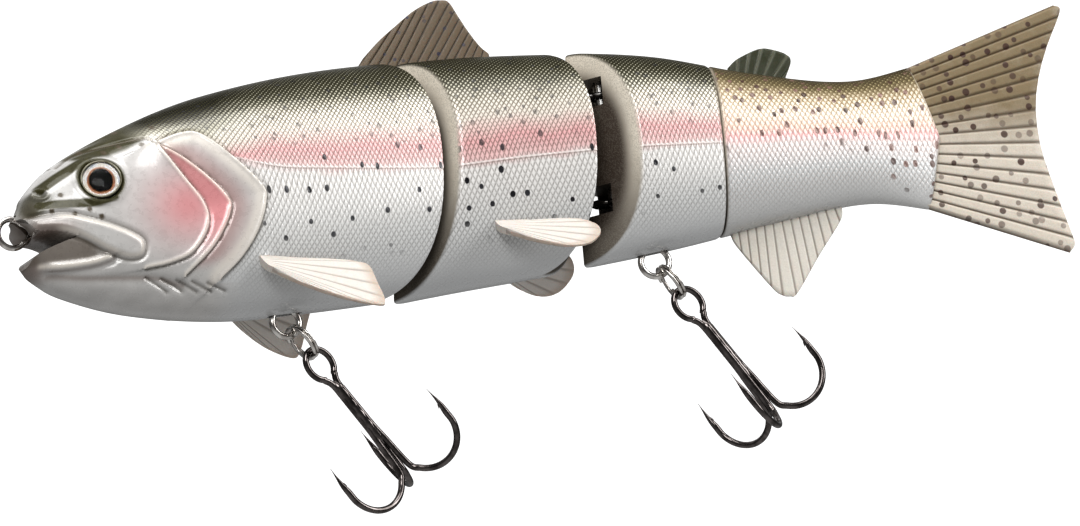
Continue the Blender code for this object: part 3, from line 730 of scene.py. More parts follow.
def rounded_end(edge, face, sign):
    """Rows from the skin's last row round the rim and in over the end face, and the face's middle."""
    centre_z = edge[:, 2].mean()
    radial = np.hypot(edge[:, 1], edge[:, 2] - centre_z)
    rows = []
    for back, inset in ((0.45, 0.1), (0.12, 0.4), (0.0, RIM_INSET)):
        t = 1 - inset * RIM_RADIUS / radial
        y, z = edge[:, 1] * t, centre_z + (edge[:, 2] - centre_z) * t
        x = face(y, z) - sign * back * RIM_RADIUS
        rows.append(np.stack([x, y, z], -1))
    steps = max(5, int(radial.mean() / (FINE * 1.6)))
    for t in np.linspace(1, 0, steps, endpoint=False)[1:]:
        t = t * (1 - RIM_INSET * RIM_RADIUS / radial)
        y, z = edge[:, 1] * t, centre_z + (edge[:, 2] - centre_z) * t
        rows.append(np.stack([face(y, z), y, z], -1))
    return rows, (float(face(np.array(0.0), np.array(centre_z))), 0.0, centre_z)


def segment_mesh(start_x, end_x, start_face, end_face, around, parts):
    """A closed segment: its skin, rounded rims and the joint faces at its ends."""
    angle = 2 * pi * np.arange(around) / around
    x0, x1 = start_x(angle), end_x(angle)
    trim = RIM_RADIUS / np.maximum(x1 - x0, 1)
    skin = [
        outer_point(x0 + (x1 - x0) * (trim + (1 - 2 * trim) * s), angle)
        for s in shares(float((x1 - x0).max()), parts)
    ]
    front_rows, front_middle = rounded_end(outer_point(x0, angle), start_face, -1)
    rear_rows, rear_middle = rounded_end(outer_point(x1, angle), end_face, 1)
    return closed_rings(front_rows[::-1] + skin + rear_rows, [front_middle, rear_middle])


def cut(points, faces, cutters):
    """Points, faces and normals of a mesh with closed cutter meshes taken away."""

    def temporary(name, p, f):
        mesh = bpy.data.meshes.new(name)
        mesh.from_pydata(np.asarray(p).tolist(), [], f)
        thing = bpy.data.objects.new(name, mesh)
        bpy.context.scene.collection.objects.link(thing)
        return thing

    base = temporary("uncut", points, faces)
    tools = [temporary("cutter", *c) for c in cutters]
    for tool in tools:
        modifier = base.modifiers.new("cut", "BOOLEAN")
        modifier.operation = "DIFFERENCE"
        modifier.object = tool
    bpy.context.view_layer.update()
    mesh = bpy.data.meshes.new_from_object(base.evaluated_get(bpy.context.evaluated_depsgraph_get()))
    out = np.empty(len(mesh.vertices) * 3)
    mesh.vertices.foreach_get("co", out)
    normals = np.empty(len(mesh.vertices) * 3)
    mesh.vertex_normals.foreach_get("vector", normals)
    result = out.reshape(-1, 3), [tuple(p.vertices) for p in mesh.polygons], normals.reshape(-1, 3)
    for thing in [base, *tools]:
        bpy.data.objects.remove(thing)
    return result


def outline_cutter(outline, half_width):
    """A closed plate across the middle plane, of a side-view outline given clockwise with the snout left."""
    n = len(outline)
    outline = outline[::-1]
    points = [(x, -half_width, z) for x, z in outline] + [(x, half_width, z) for x, z in outline]
    faces = [tuple(range(n)), tuple(range(2 * n - 1, n - 1, -1))] + [
        ((k + 1) % n, k, n + k, n + (k + 1) % n) for k in range(n)
    ]
    return points, faces


def disc_cutter(centre, radius, half_width):
    """A closed disc across the middle plane."""
    angles = 2 * pi * np.arange(DISC_SIDES) / DISC_SIDES
    outline = [(centre[0] + radius * cos(a), centre[1] + radius * sin(a)) for a in angles]
    return outline_cutter(outline[::-1], half_width)


def ring_cutter(centre, radius, wire):
    """Room for a wire ring standing in the middle plane, with the usual gap round it."""
    return disc_cutter(centre, radius + wire + GAP, wire + GAP)


def slot_cutters(hinge):
    """Openings for the two hinge eyes that reach into a segment's front."""
    x0, x1 = hinge - SLOT_AHEAD, hinge + SLOT_BEHIND
    cutters = []
    for middle in (HINGE_EYE_HEIGHT, -HINGE_EYE_HEIGHT):
        z0, z1 = middle - SLOT_HALF_HEIGHT, middle + SLOT_HALF_HEIGHT
        cutters.append(outline_cutter([(x0, z0), (x0, z1), (x1, z1), (x1, z0)], SLOT_HALF_WIDTH))
    return cutters


def inside_by(curve, x, z):
    """Distance from each point to a curve in the side view, positive on the curve's right-hand side."""
    c = np.asarray(curve)
    best = np.full(len(x), 1e9)
    side = np.zeros(len(x))
    for (ax, az), (bx, bz) in zip(c, c[1:]):
        dx, dz = bx - ax, bz - az
        t = np.clip(((x - ax) * dx + (z - az) * dz) / (dx * dx + dz * dz + 1e-12), 0, 1)
        d = np.hypot(x - ax - t * dx, z - az - t * dz)
        closer = d < best
        best = np.where(closer, d, best)
        side = np.where(closer, dx * (z - az) - dz * (x - ax), side)
    return -best * np.where(side < 0, -1, 1)


def near(distance, centre, width):
    """A smooth hump, 1 where the distance is the centre's."""
    return np.exp(-(((distance - centre) / width) ** 2))


# Side-view curves of the head's plates, as (station, height)
PREOPERCLE = smoothed(
    [(30.8, 2.6), (34.6, -3.6), (38.4, -9.8), (38.6, -14.6), (35.0, -19.6), (30.2, -21.6), (25.0, -22.4)], 60
)
INNER_PLATE = smoothed(
    [(29.8, 4.2), (36.5, -0.6), (43.4, -8.2), (43.6, -12.2), (39.6, -18.6), (33.6, -24.0)], 60
)
OPERCLE = smoothed(
    [(30.0, 4.2), (35.5, 6.0), (39.8, 5.7), (45.5, 0.6), (51.5, -6.2), (52.0, -9.8), (49.6, -15.8),
     (45.6, -21.2), (41.2, -25.0)], 80
)
CHEEK_TOP = smoothed([(10.0, 1.2), (14.0, 3.6), (20.0, 4.8), (28.0, 5.6), (30.0, 4.4)], 40)
MAXILLA = smoothed(
    [(1.4, -9.9), (8.7, -9.8), (13.4, -11.1), (18.4, -13.0), (22.5, -15.1), (24.6, -17.1), (23.9, -19.8),
     (20.6, -20.0), (16.4, -18.0), (11.6, -15.0), (7.0, -13.4), (0.8, -12.8)], 80
)
LIP = smoothed([(3.6, -20.0), (7.0, -20.4), (11.0, -20.4), (14.4, -20.1), (17.2, -19.4)], 30)
JAW_CREASE = smoothed([(5.0, -22.4), (12.0, -23.4), (20.0, -24.0), (27.0, -24.6), (33.0, -26.4)], 40)
UNDER_EYE = smoothed([(4.4, -7.4), (8.0, -7.6), (12.0, -7.8), (15.8, -7.9), (19.4, -7.0)], 30)
BEFORE_EYE = smoothed([(5.4, -3.8), (9.0, -1.6), (12.6, 0.3), (16.0, 2.0)], 30)
OLIVE_EDGE = [(0, -4.4), (6, 0.9), (10, 2.9), (12, 2.9), (14, 2.0), (17, 1.7), (20, 2.1), (24, 3.2),
              (28, 4.8), (31, 8.0), (40, 9.5)]
HEAD_SPOTS = [(6.5, -8.9), (11.0, -9.9), (16.3, -11.0), (8.8, -5.6), (14.0, -9.3), (9.0, 1.6), (19.6, 3.2),
              (15.6, 4.4), (23.0, 4.2), (27.4, 3.9), (24.0, 8.4), (17.8, 6.8), (31.0, 8.2)]
GILL_RIDGES = [((25.0 + 3.3 * k, -24.4 - 0.35 * k), (29.8 + 3.2 * k, -27.2 - 0.1 * k)) for k in range(5)]
PECTORAL_ROOT = (50.5, -23.0)
NOSTRIL = (5.2, -4.9)


def highest(*layers):
    """The highest of the layers at each point."""
    return np.maximum.reduce(np.broadcast_arrays(*layers))


class HeadMap:
    """Where points of the head lie against its plates, jaws and eye, in the side view."""

    def __init__(self, x, z):
        self.x, self.z = x, z
        self.plates = [inside_by(curve, x, z) for curve in (PREOPERCLE, INNER_PLATE, OPERCLE)]
        self.cheek, self.inner, self.outer = self.plates
        self.cheek_top = inside_by(CHEEK_TOP, x, z)
        self.jaw = inside_by(MAXILLA, x, z)
        self.lip = inside_by(LIP, x, z)
        self.crease = inside_by(JAW_CREASE, x, z)
        self.ridges = [inside_by(ends, x, z) for ends in GILL_RIDGES]
        self.from_eye = np.hypot(x - EYE_PLACE[0], z - EYE_PLACE[1])
        window = step(-24.0, -20.0, z) * step(4.4, 2.4, z) * step(27.0, 31.0, x)
        # The wedge between the cheek's and the inner plate's edges: pink lower down, painted shade higher up
        self.wedge = step(-0.2, 0.4, -self.cheek) * step(-0.2, 0.4, self.inner) * window
        # Painted shade next to the inner plate's edge, a little pink
        plate = near(np.maximum(-self.inner, 0), 0, 3.4) * step(-0.2, 0.3, -self.inner)
        self.plate = plate * step(0.2, 1.2, self.outer) * window
        # Painted shade inside the lower jaw's edge, under the upper jaw
        jaw_edge_shade = step(18.0, 13.0, x) * step(-20.2, -19.0, z) * step(-12.6, -14.4, z)
        self.jaw_edge_shade = jaw_edge_shade * step(0.2, -0.4, self.jaw)

    def plate_relief(self):
        out = np.zeros(len(self.x))
        for d, lift, width in zip(self.plates, (0.45, 0.5, 0.8), (4.0, 3.2, 5.5)):
            out += lift * near(np.maximum(d, 0), 0, width) * step(-0.3, 0.2, d)
            out += 0.22 * near(d, 0.5, 0.32) - 0.25 * near(d, -0.3, 0.35)
        return out - 0.3 * near(self.cheek_top, 0, 0.4)

    def jaw_relief(self):
        behind_tip = step(2.5, 6.0, self.x)
        upper = 1.15 * step(-0.25, 1.5, self.jaw) + 0.25 * near(self.jaw, 0.7, 0.5)
        out = np.where((self.x > 0.5) & (self.x < 27), upper, 0)
        out -= 0.35 * near(self.jaw, -0.45, 0.45)
        out += (0.5 * near(self.lip, 0, 0.8) - 0.5 * near(self.lip, 1.6, 0.8)) * behind_tip
        out -= 0.55 * near(self.crease, 0, 1.1) * behind_tip
        for d in self.ridges:
            out -= 0.5 * near(d, 0, 0.36)
        return out

    def feature_relief(self):
        """Eye socket with its raised ring, nostril, and the swelling at the pectoral fin's root."""
        out = 0.3 * near(self.from_eye, 5.0, 0.8) - 1.2 * (1 - step(3.9, 4.4, self.from_eye))
        d = np.hypot((self.x - NOSTRIL[0]) / 1.2, self.z - NOSTRIL[1])
        out += 0.35 * near(d, 1.15, 0.35) - 0.4 * near(d, 0, 0.6)
        d = np.hypot(self.x - PECTORAL_ROOT[0], self.z - PECTORAL_ROOT[1])
        return out + 0.7 * near(d, 0, 2.2)

    def olive(self):
        """The olive crown, its bands before, under and round the eye, the dark snout and a little painted
        shade.
        """
        x, z = self.x, self.z
        under, before = (np.abs(inside_by(curve, x, z)) for curve in (UNDER_EYE, BEFORE_EYE))
        snout = np.hypot((x - 3.6) / 3.4, (z + 7.0 - 0.3 * (x - 3.6)) / 2.7)
        return highest(
            step(-0.7, 0.7, z - np.interp(x, *np.transpose(OLIVE_EDGE))),
            1 - step(0.75, 1.2, under),
            1 - step(0.8, 1.25, before),
            1 - step(4.7, 5.2, self.from_eye),
            0.85 * (1 - step(0.7, 1.3, snout)),
            0.4 * self.jaw_edge_shade,
        )

    def line(self):
        """Dark lines along the plates, the jaw and the gill ridges, and the head's spots."""
        return highest(
            0.8 * near(self.cheek_top, 0, 0.25),
            *(near(d, -0.22, 0.26) for d in self.plates),
            # painted shade just under the upper jaw's edge
            0.8 * near(self.jaw, -0.35, 0.3) * (self.x < 26),
            *(1.25 * (1 - step(0.42, 0.68, np.hypot(self.x - x, self.z - z))) for x, z in HEAD_SPOTS),
            *(0.65 * near(d, 0, 0.24) for d in self.ridges),
        )

    def blush(self):
        """Pink on the cheek and behind it, and a little in the painted shade next to the inner plate."""
        cheek = near(np.hypot((self.x - 35.0) / 8.0, (self.z + 10.0) / 7.0), 0, 1.0)
        cheek = cheek * step(-0.1, 0.3, self.cheek)
        return highest(0.8 * cheek, 0.9 * self.wedge * step(-23.0, -12.0, self.z), 0.35 * self.plate)

    def bead_highlight(self):
        """Painted highlights along the raised beads just inside the plates' edges and along the jaw and the
        lip.
        """
        return highest(
            *(near(d, 0.45, 0.32) for d in self.plates),
            0.8 * near(self.jaw, 0.6, 0.45) * step(6.0, 9.0, self.x),
            near(self.lip, 0, 0.45),
            0.7 * near(self.outer, 1.6, 1.3),
        )

    def shade(self):
        """Painted shade by the plates, in the jaw's crease and inside the lower jaw's edge; brown on the
        lips.
        """
        x, z = self.x, self.z
        return highest(
            0.42 * self.wedge * step(-12.0, 4.0, z),
            0.42 * self.plate,
            0.85 * step(15.0, 6.0, x) * near(z, -12.9, 2.2),
            0.6 * near(np.hypot((x - 2.6) / 1.6, (z + 8.0) / 2.6), 0, 1.0),
            0.5 * near(self.crease, 0, 0.55),
            0.45 * near(np.abs(self.lip), 1.0, 0.45),
            0.8 * step(6.0, 2.4, x) * step(-17.0, -18.2, z),
            0.62 * self.jaw_edge_shade,
        )


def head_relief(x, y, z):
    """How far the head's plates, jaws and ridges stand out, in millimetres."""
    head = HeadMap(x, z)
    return (head.plate_relief() + head.jaw_relief() + head.feature_relief()) * step(1.0, 4.0, np.abs(y))


def scale_height(x, yn, zn, centre, high, wide):
    """Distance round the body's outline from the lateral line, in millimetres."""
    half_power = SECTION_POWER / 2
    turn = np.arctan2(np.sign(zn) * np.abs(zn) ** half_power, np.abs(yn) ** half_power + 1e-9)
    quarter = 1.03 * pi / 4 * (3 * (high + wide) - np.sqrt((3 * high + wide) * (high + 3 * wide)))
    line = (curve_value(LATERAL, x) - centre) / high
    line_turn = np.arctan2(
        np.sign(line) * np.abs(line) ** half_power,
        np.sqrt(np.clip(1 - np.abs(line) ** SECTION_POWER, 0, 1)),
    )
    return (turn - line_turn) / (pi / 2) * quarter


def smooth_part(x, z):
    """1 on the smooth head and 0 behind the edge where the scales begin."""
    d = inside_by(OPERCLE, x, z)
    before = np.where(x < 36, 1.0, step(-0.5, 0.0, d))
    crown = 1 - step(24.0, 33.0, x + (z - 6) * 0.6)
    below = 1 - step(38.0, 48.0, x)
    smooth = np.where(z > 5.0, np.maximum(crown, before * (d > 0)), before)
    return np.where(z < -26.0, np.maximum(below, before * (d > 0)), smooth)


def paint_attributes(points, face_front, face_rear, is_head):
    """What the paint reads: scale coordinates, height over the lateral line, rim distance, head marks,
    painted light.
    """
    x, y, z = points.T
    centre, high, wide = body_at(x)
    yn, zn = y / wide, (z - centre) / high
    level = (np.abs(yn) ** SECTION_POWER + np.abs(zn) ** SECTION_POWER) ** (1 / SECTION_POWER)
    rim = (1 - level) * wide
    outer = step(0.90, 0.955, level)
    for face, sign in ((face_front, 1), (face_rear, -1)):
        if face is not None:
            depth = sign * (x - face(y, z))
            outer = outer * step(0.02, 0.3, depth + np.maximum(level - 0.965, 0) * 6)
    lateral = curve_value(LATERAL, x)
    top, bottom = curve_value(BACK, x), curve_value(BELLY, x)
    above = z - lateral
    g = np.clip(np.where(above > 0, above / (top - lateral), above / (lateral - bottom)), -1, 1)
    none = np.zeros(len(x))
    marks, bead_highlight, shade, smooth = np.zeros((len(x), 3)), none, none, none
    if is_head:
        head = HeadMap(x, z)
        olive = head.olive() * (1 - step(24.0, 40.0, x + (z - 6) * 0.4))
        marks = np.stack([olive, head.line(), head.blush()], -1)
        mouth = (x < 13) & (level < 0.93)
        bead_highlight, smooth = head.bead_highlight(), smooth_part(x, z)
        # Inside the mouth: painted shadow under the upper lip, darkest at the top
        shade = np.where(mouth, step(-17.8, -15.6, z) * 0.8 + 0.15, head.shade())
        outer = np.where((x < 1.7) & (z < -8), 1.0, outer)
        rim = np.where(mouth, 0.5, rim)
    skin = np.stack([x, scale_height(x, yn, zn, centre, high, wide), outer], -1)
    paint = np.stack([g, rim, smooth], -1)
    # relief keeps the head's painted highlights, its painted shade and the height above the lateral line
    return {"skin": skin, "paint": paint, "marks": marks, "relief": np.stack([bead_highlight, shade, above], -1)}, outer


def flat_nose(y, _):
    return np.full_like(y, NOSE_FACE)


def wedge_face(face):
    return lambda y, z: face_x(face, y, z)


def wedge_end(face):
    return lambda angle: face_end(face, angle)


def seam_face(offset):
    return lambda y, z: SEAM + offset + SEAM_LEAN * z


def tail_root(_, z):
    station, slope, height = TAIL_ROOT
    return station + slope * np.abs(z - height)


def plane_end(face):
    """Where the body's outline meets a nearly flat face, for each angle round it."""

    def ends(angle):
        x = np.full_like(angle, SEAM)
        for _ in range(12):
            point = outer_point(x, angle)
            x = face(point[:, 1], point[:, 2])
        return x

    return ends


def painted_segment(
    name, body, ends, faces_of, around, cutters, stands_for, look=SKIN, is_head=False
):
    """A segment with its cutters taken away, its raised details and the values its paint reads."""
    parts = [(HEAD_SHARE, HEAD_FINE), (1.0, FINE)] if is_head else [(1.0, FINE)]
    points, faces = segment_mesh(*ends, *faces_of, around, parts)
    points, faces, normals = cut(points, faces, cutters)
    front = None if is_head else faces_of[0]
    attributes, outer = paint_attributes(points, front, faces_of[1], is_head)
    moved = points.copy()
    if is_head:
        relief = head_relief(*points.T) * outer * step(0.5, 2.5, points[:, 0])
        moved = moved + normals * relief[:, None]
    x, z = points[:, 0], points[:, 2]
    thread = near(z - curve_value(LATERAL, x), 0, 0.3) * step(50, 54, x)
    moved = moved + normals * (THREAD_HEIGHT * thread * outer)[:, None]
    place(name, moved, faces, body, look, stands_for, attributes)


MOUTH = [(-8, -21.4), (-8, -9.2), (0.9, -9.4), (2.6, -10.8), (4.0, -12.6), (6.0, -13.2), (9.5, -13.8),
         (11.2, -14.4), (9.5, -15.1), (5, -16.6), (3.2, -17.4), (2.2, -18.3), (1.8, -19.4), (2.0, -20.5),
         (2.8, -21.4)]
AROUND = int(round(130 / FINE))
HEAD_AROUND = 340
HEAD_SHARE, HEAD_FINE = 0.6, 0.32  # the front part of the head with finer rows, and their spacing
THREAD_HEIGHT = 0.08  # of the lateral line's raised thread

painted_segment(
    "head_skin",
    "head",
    (nose_x, wedge_end(HEAD_REAR)),
    (flat_nose, wedge_face(HEAD_REAR)),
    HEAD_AROUND,
    [
        ring_cutter((0.0, TIE_DEPTH), TIE_RADIUS, TIE_WIRE),
        outline_cutter(MOUTH, 20),
        ring_cutter(FRONT_HANGER, HANGER_RADIUS, HANGER_WIRE),
    ],
    ("head_shell_left", "head_shell_right"),
    is_head=True,
)
painted_segment(
    "middle_skin",
    "middle",
    (wedge_end(MIDDLE_FRONT), wedge_end(MIDDLE_REAR)),
    (wedge_face(MIDDLE_FRONT), wedge_face(MIDDLE_REAR)),
    AROUND,
    slot_cutters(FRONT_HINGE),
    ("middle_shell_left", "middle_shell_right"),
)
painted_segment(
    "rear_skin",
    "rear",
    (wedge_end(REAR_FRONT), plane_end(seam_face(-GAP / 2))),
    (wedge_face(REAR_FRONT), seam_face(-GAP / 2)),
    AROUND,
    [*slot_cutters(REAR_HINGE), ring_cutter(REAR_HANGER, HANGER_RADIUS, HANGER_WIRE)],
    ("rear_shell_left", "rear_shell_right"),
)
painted_segment(
    "soft_tail_skin",
    "rear",
    (plane_end(seam_face(GAP / 2)), plane_end(tail_root)),
    (seam_face(GAP / 2), tail_root),
    AROUND * 3 // 4,
    [],
    ("soft_tail",),
    SOFT_SKIN,
)


# ---------------------------------------------------------------- fins


# Where a fin's outline starts from, and the directions of its stations and heights
IN_THE_MIDDLE_PLANE = (np.zeros(3), np.array([1.0, 0, 0]), np.array([0.0, 0, 1.0]))


def fin_sheet(base, edge, across, along, lean):
    """A flat fin's points between its base and outer edge, and their shares across and along its rays."""
    t, s = np.linspace(0, 1, across), np.linspace(0, 1, along)
    low, fine_edge = smoothed(base, across), smoothed(edge, 400)
    high = np.stack([np.interp(t**lean, np.linspace(0, 1, 400), fine_edge[:, c]) for c in (0, 1)], 1)
    flat = low[:, None, :] * (1 - s)[None, :, None] + high[:, None, :] * s[None, :, None]
    return flat, t[:, None], s[None, :]


def fin_half_thickness(t, s, rays, thick, groove, rib):
    """Tapered towards the edge, grooved between the rays, ribbed in front and rounded at the border."""
    phase = np.abs((t * rays) % 1 - 0.5)
    grooves = -groove * np.exp(-(((0.5 - phase) / 0.10) ** 2))
    half = thick[0] + (thick[1] - thick[0]) * s + grooves * step(0.02, 0.12, s)
    half = half + rib * np.exp(-((t / 0.03) ** 2))
    ends = np.minimum(step(-0.004, 0.02, t), step(-0.004, 0.02, 1 - t))
    return np.maximum(half * np.sqrt(ends * step(-0.02, 0.04, 1 - s)), 0.02)


def fin_faces(across, along):
    """Two sheets, the second's points after the first's, and the strip that joins their borders."""
    count = across * along
    faces = grid_faces(across, along, wrap=False, flip=True)
    faces += grid_faces(across, along, wrap=False, offset=count)
    border = [i * along for i in range(across)]
    border += [(across - 1) * along + j for j in range(1, along)]
    border += [i * along + along - 1 for i in range(across - 2, -1, -1)]
    border += list(range(along - 2, 0, -1))
    for a, b in zip(border, border[1:] + border[:1]):
        faces.append((a, b, b + count, a + count))
    return faces


def fin(
    name, base, edge, rays, thick, body, look, stands_for=(), axes=IN_THE_MIDDLE_PLANE,
    groove=0.2, bow=0.0, tone=None, rib=0.0, lean=1.0,
):
    """A ribbed fin between a base curve and an outer edge curve, both running from its front to its back."""
    across = max(24, rays * (12))
    along = 30
    flat, t, s = fin_sheet(base, edge, across, along, lean)
    half = fin_half_thickness(t, s, rays, thick, groove, rib)[..., None]
    lift = (bow * np.sin(pi * t) * s)[..., None]
    origin, u_axis, v_axis = axes
    normal = np.cross(u_axis, v_axis)
    middle = origin + flat[..., :1] * u_axis + flat[..., 1:] * v_axis + lift * normal
    points = np.vstack([(middle + half * normal).reshape(-1, 3), (middle - half * normal).reshape(-1, 3)])
    depth = np.zeros((across, along)) if tone is None else tone(middle)
    ray = np.stack(np.broadcast_arrays(t * rays, s, depth), -1).reshape(-1, 3)
    attributes = {"ray": np.vstack([ray, ray])}
    place(name, points, fin_faces(across, along), body, look, stands_for, attributes)


fin(
    "caudal_fin",
    [(199.5, 10.6), (203.0, 6.0), (205.0, 0.0), (205.2, -4.5), (204.0, -10.5), (200.0, -16.6)],
    [(241.2, 24.2), (242.4, 22.6), (238.2, 14.9), (235.2, 8), (233.5, 1), (233.3, -7), (234.6, -15),
     (237, -26), (237.6, -29.4), (236.2, -31.3)],
    16,
    (1.25, 0.75),
    "rear",
    CAUDAL,
    groove=0.34,
    tone=lambda m: step(-8.0, 6.0, m[..., 2] + 0.05 * (m[..., 0] - 205)),
)
fin(
    "dorsal_fin_blade",
    [(85.0, 23.4), (94.0, 22.2), (104, 22.2), (113.8, 22.6)],
    [(86.6, 25.4), (90.4, 28.8), (94.5, 31.8), (98.8, 34.7), (102.6, 36.3), (105, 36.5), (106.7, 35.8),
     (108.4, 32.3), (110, 29), (112, 25.6), (113.8, 23.6)],
    14,
    (0.85, 0.45),
    "middle",
    DORSAL,
    ("dorsal_fin",),
    lean=0.55,
)
fin(
    "anal_fin",
    [(160.6, -19.6), (168, -18.4), (178, -16.6), (186.3, -15.2)],
    [(161.2, -22.0), (163, -25.2), (168.3, -33), (170.3, -35), (172.2, -35.5), (174, -34.8), (180, -27),
     (185.7, -20), (186.6, -17.2)],
    13,
    (0.95, 0.5),
    "rear",
    ANAL,
)
fin(
    "adipose_fin",
    [(165.4, 13.8), (170, 12.4), (177.6, 10.8)],
    [(165.7, 15.9), (168.1, 17.7), (173, 19.5), (176, 19.2), (179.2, 17.8), (179.9, 16), (178, 12.4)],
    7,
    (1.2, 0.7),
    "rear",
    ADIPOSE,
)


def paired_fins(kind, root, out, down, body, rays, base, edge):
    """A fin on each side, its root out from the body's surface, leaning down by an angle from level."""
    for side, sign in (("left", -1), ("right", 1)):
        y = sign * (float(surface_y(root[0] + 8, root[1])) + out)
        v_axis = np.array([0, sign * cos(radians(down)), -sin(radians(down))])
        fin(
            f"{kind}_fin_{side}_blade",
            base,
            edge,
            rays,
            (0.8, 0.42),
            body,
            PEARL_FIN,
            (f"{kind}_fin_{side}",),
            (np.array([root[0], y, root[1]]), np.array([1.0, 0, 0]), v_axis),
            groove=0.12,
            bow=0.5 * sign,
            rib=0.3,
        )


paired_fins(
    "pectoral", (49.5, -22.5), 1.2, 52, "head", 13,
    [(0.0, -1.2), (0.2, 0.4), (0.8, 2.0), (1.6, 2.8)],
    [(5, -0.8), (16, 0.6), (21.5, 1.8), (23.5, 3.5), (23.2, 9), (22.6, 15), (20.8, 16.4), (14, 13.6),
     (7, 8.6), (2.4, 4.0)],
)
paired_fins(
    "pelvic", (108, -17), 1.2, 39, "middle", 12,
    [(0.0, -1.0), (0.3, 0.6), (0.9, 2.0), (1.6, 2.8)],
    [(6, -0.6), (14, 0.6), (18.5, 2.2), (20.8, 5.5), (20.6, 9.5), (17.5, 13.4), (13, 13.6), (7.5, 9.8),
     (2.2, 3.8)],
)


# ---------------------------------------------------------------- eyes


def turned(profile):
    """Points and faces turned about Z from (radius, height) points, closed at both ends on the axis."""
    sides = 48
    a = 2 * pi * np.arange(sides) / sides
    rings = [np.stack([r * np.cos(a), r * np.sin(a), np.full(sides, h)], -1) for r, h in profile[1:-1]]
    return closed_rings(rings, [(0, 0, profile[0][1]), (0, 0, profile[-1][1])], flip=True)


IRIS_PROFILE = [(0, 0.35), (0.8, 0.35), (2.5, 0.35), (2.6, 0.12), (3.2, 0.1), (3.8, 0.14),
                (EYE_RADIUS - 0.1, 0.2), (EYE_RADIUS, 0.0), (EYE_RADIUS, -0.8), (0, -0.8)]
IRIS_OUT, DOME_OUT, RIM_OUT = -0.65, 0.0, 0.2  # how far each is moved out from the head's surface
DOME_RADIUS, DOME_HEIGHT = 0.99 * EYE_RADIUS, 1.55


def iris_mesh():
    """The printed disc and, for its paint, each point's distance from the axis, turn and height."""
    profile = [IRIS_PROFILE[0]]
    for (r0, h0), (r1, h1) in zip(IRIS_PROFILE, IRIS_PROFILE[1:]):
        for t in np.linspace(0, 1, 5)[1:]:
            profile.append((r0 + (r1 - r0) * t, h0 + (h1 - h0) * t))
    points, faces = turned(profile)
    radial = np.hypot(points[:, 0], points[:, 1] * 0.96 + 0.06 * np.abs(points[:, 0]))
    return points, faces, np.stack([radial, np.arctan2(points[:, 1], points[:, 0]), points[:, 2]], -1)


def dome_mesh():
    quarter = np.radians(np.linspace(0, 90, 16))
    profile = [(DOME_RADIUS * sin(a), DOME_HEIGHT * cos(a)) for a in quarter]
    return turned(profile + [(DOME_RADIUS, -0.15), (0, -0.15)])


def rim_mesh():
    a = 2 * pi * np.arange(64) / 64
    radius = EYE_RADIUS + 0.1
    ring = np.stack([radius * np.cos(a), radius * np.sin(a), 0 * a], -1)
    return tube(ring, 0.24, 12, closed=True, side_hint=(0, 0, 1))


def eye(side, sign):
    """Iris, clear dome and painted rim of one eye; sign is 1 on the fish's left."""
    x, z = EYE_PLACE
    surface = np.array([x, -sign * float(surface_y(x, z)), z])
    axis = np.array([EYE_AXIS[0], EYE_AXIS[1] * sign, EYE_AXIS[2]])
    axis /= np.linalg.norm(axis)
    up = np.cross(axis, np.cross([0, 0, 1.0], axis))
    up /= np.linalg.norm(up)
    basis = np.stack([np.cross(up, axis), up, axis], 0)

    def laid(points, out):
        return points @ basis + surface + axis * out

    points, faces, values = iris_mesh()
    points = laid(points, IRIS_OUT)
    place(f"iris_{side}", points, faces, "head", IRIS, (f"eye_iris_{side}",), {"eye": values})
    points, faces = dome_mesh()
    points = laid(points, DOME_OUT)
    place(f"eye_dome_{side}", points, faces, "head", LENS, (f"eye_lens_{side}",))
    points, faces = rim_mesh()
    place(f"eye_rim_{side}", laid(points, RIM_OUT), faces, "head", ORBIT)


eye("left", 1)
eye("right", -1)


# ---------------------------------------------------------------- wire fittings


SCREW_OPENING = 42.0  # degrees from the legs' side at which the ring opens into them


def screw_eye(name, centre, radius, wire, direction, length, body, look, stands_for, flat=False):
    """A wire bent into a ring, with its two legs twisted together as they enter the plastic."""
    direction = np.array(direction, float)
    across = np.array([0, 1.0, 0])
    side = np.cross(across, direction)
    a = np.radians(np.linspace(SCREW_OPENING, 360 - SCREW_OPENING, 60))
    ring = radius * (np.cos(a)[:, None] * direction + np.sin(a)[:, None] * side)
    turns = np.linspace(0, 1, 40)[:, None]
    blend = step(0, 0.25, turns)
    c, s = cos(radians(SCREW_OPENING)), sin(radians(SCREW_OPENING))
    legs = []
    for sign in (1, -1):
        start = radius * (c * direction + sign * s * side)
        twist = sign * wire * 0.95 * (np.cos(turns * 4 * pi) * side + np.sin(turns * 4 * pi) * across)
        straight = start * (1 - blend) + blend * (direction * radius * c)
        legs.append(straight + direction * (turns * length) + twist * blend)
    path = np.vstack([legs[0][::-1], ring[1:-1], legs[1]])
    points, faces = tube(path, wire, 16)
    if flat:
        points = points[:, [0, 2, 1]] * np.array([1, 1, -1])
    place(name, points + np.array(centre), faces, body, look, stands_for)


screw_eye(
    "line_tie_ring", (0, 0, TIE_DEPTH), TIE_RADIUS, TIE_WIRE, (1, 0, 0), 11,
    "head", NICKEL, ("line_tie",),
)
for end, (x, z), body in (("front", FRONT_HANGER, "head"), ("rear", REAR_HANGER, "rear")):
    screw_eye(
        f"{end}_hanger_loop", (x, 0, z), HANGER_RADIUS, HANGER_WIRE, (0, 0, 1), 8,
        body, NICKEL, (f"{end}_hanger",),
    )
for body, hinge in (("head", FRONT_HINGE), ("middle", REAR_HINGE)):
    for level, sign in (("upper", 1), ("lower", -1)):
        node = f"{body}_hinge_eye_{level}"
        screw_eye(
            node + "_wire", (hinge, 0, sign * HINGE_EYE_HEIGHT), HINGE_EYE_RADIUS, HINGE_EYE_WIRE, (-1, 0, 0),
            14, body, STEEL, (node,), flat=True,
        )


COIL_WIRE, COIL_FLATNESS, COIL_OFFSET = 0.56, 0.66, 0.39  # each turn lies this offset from the ring's middle


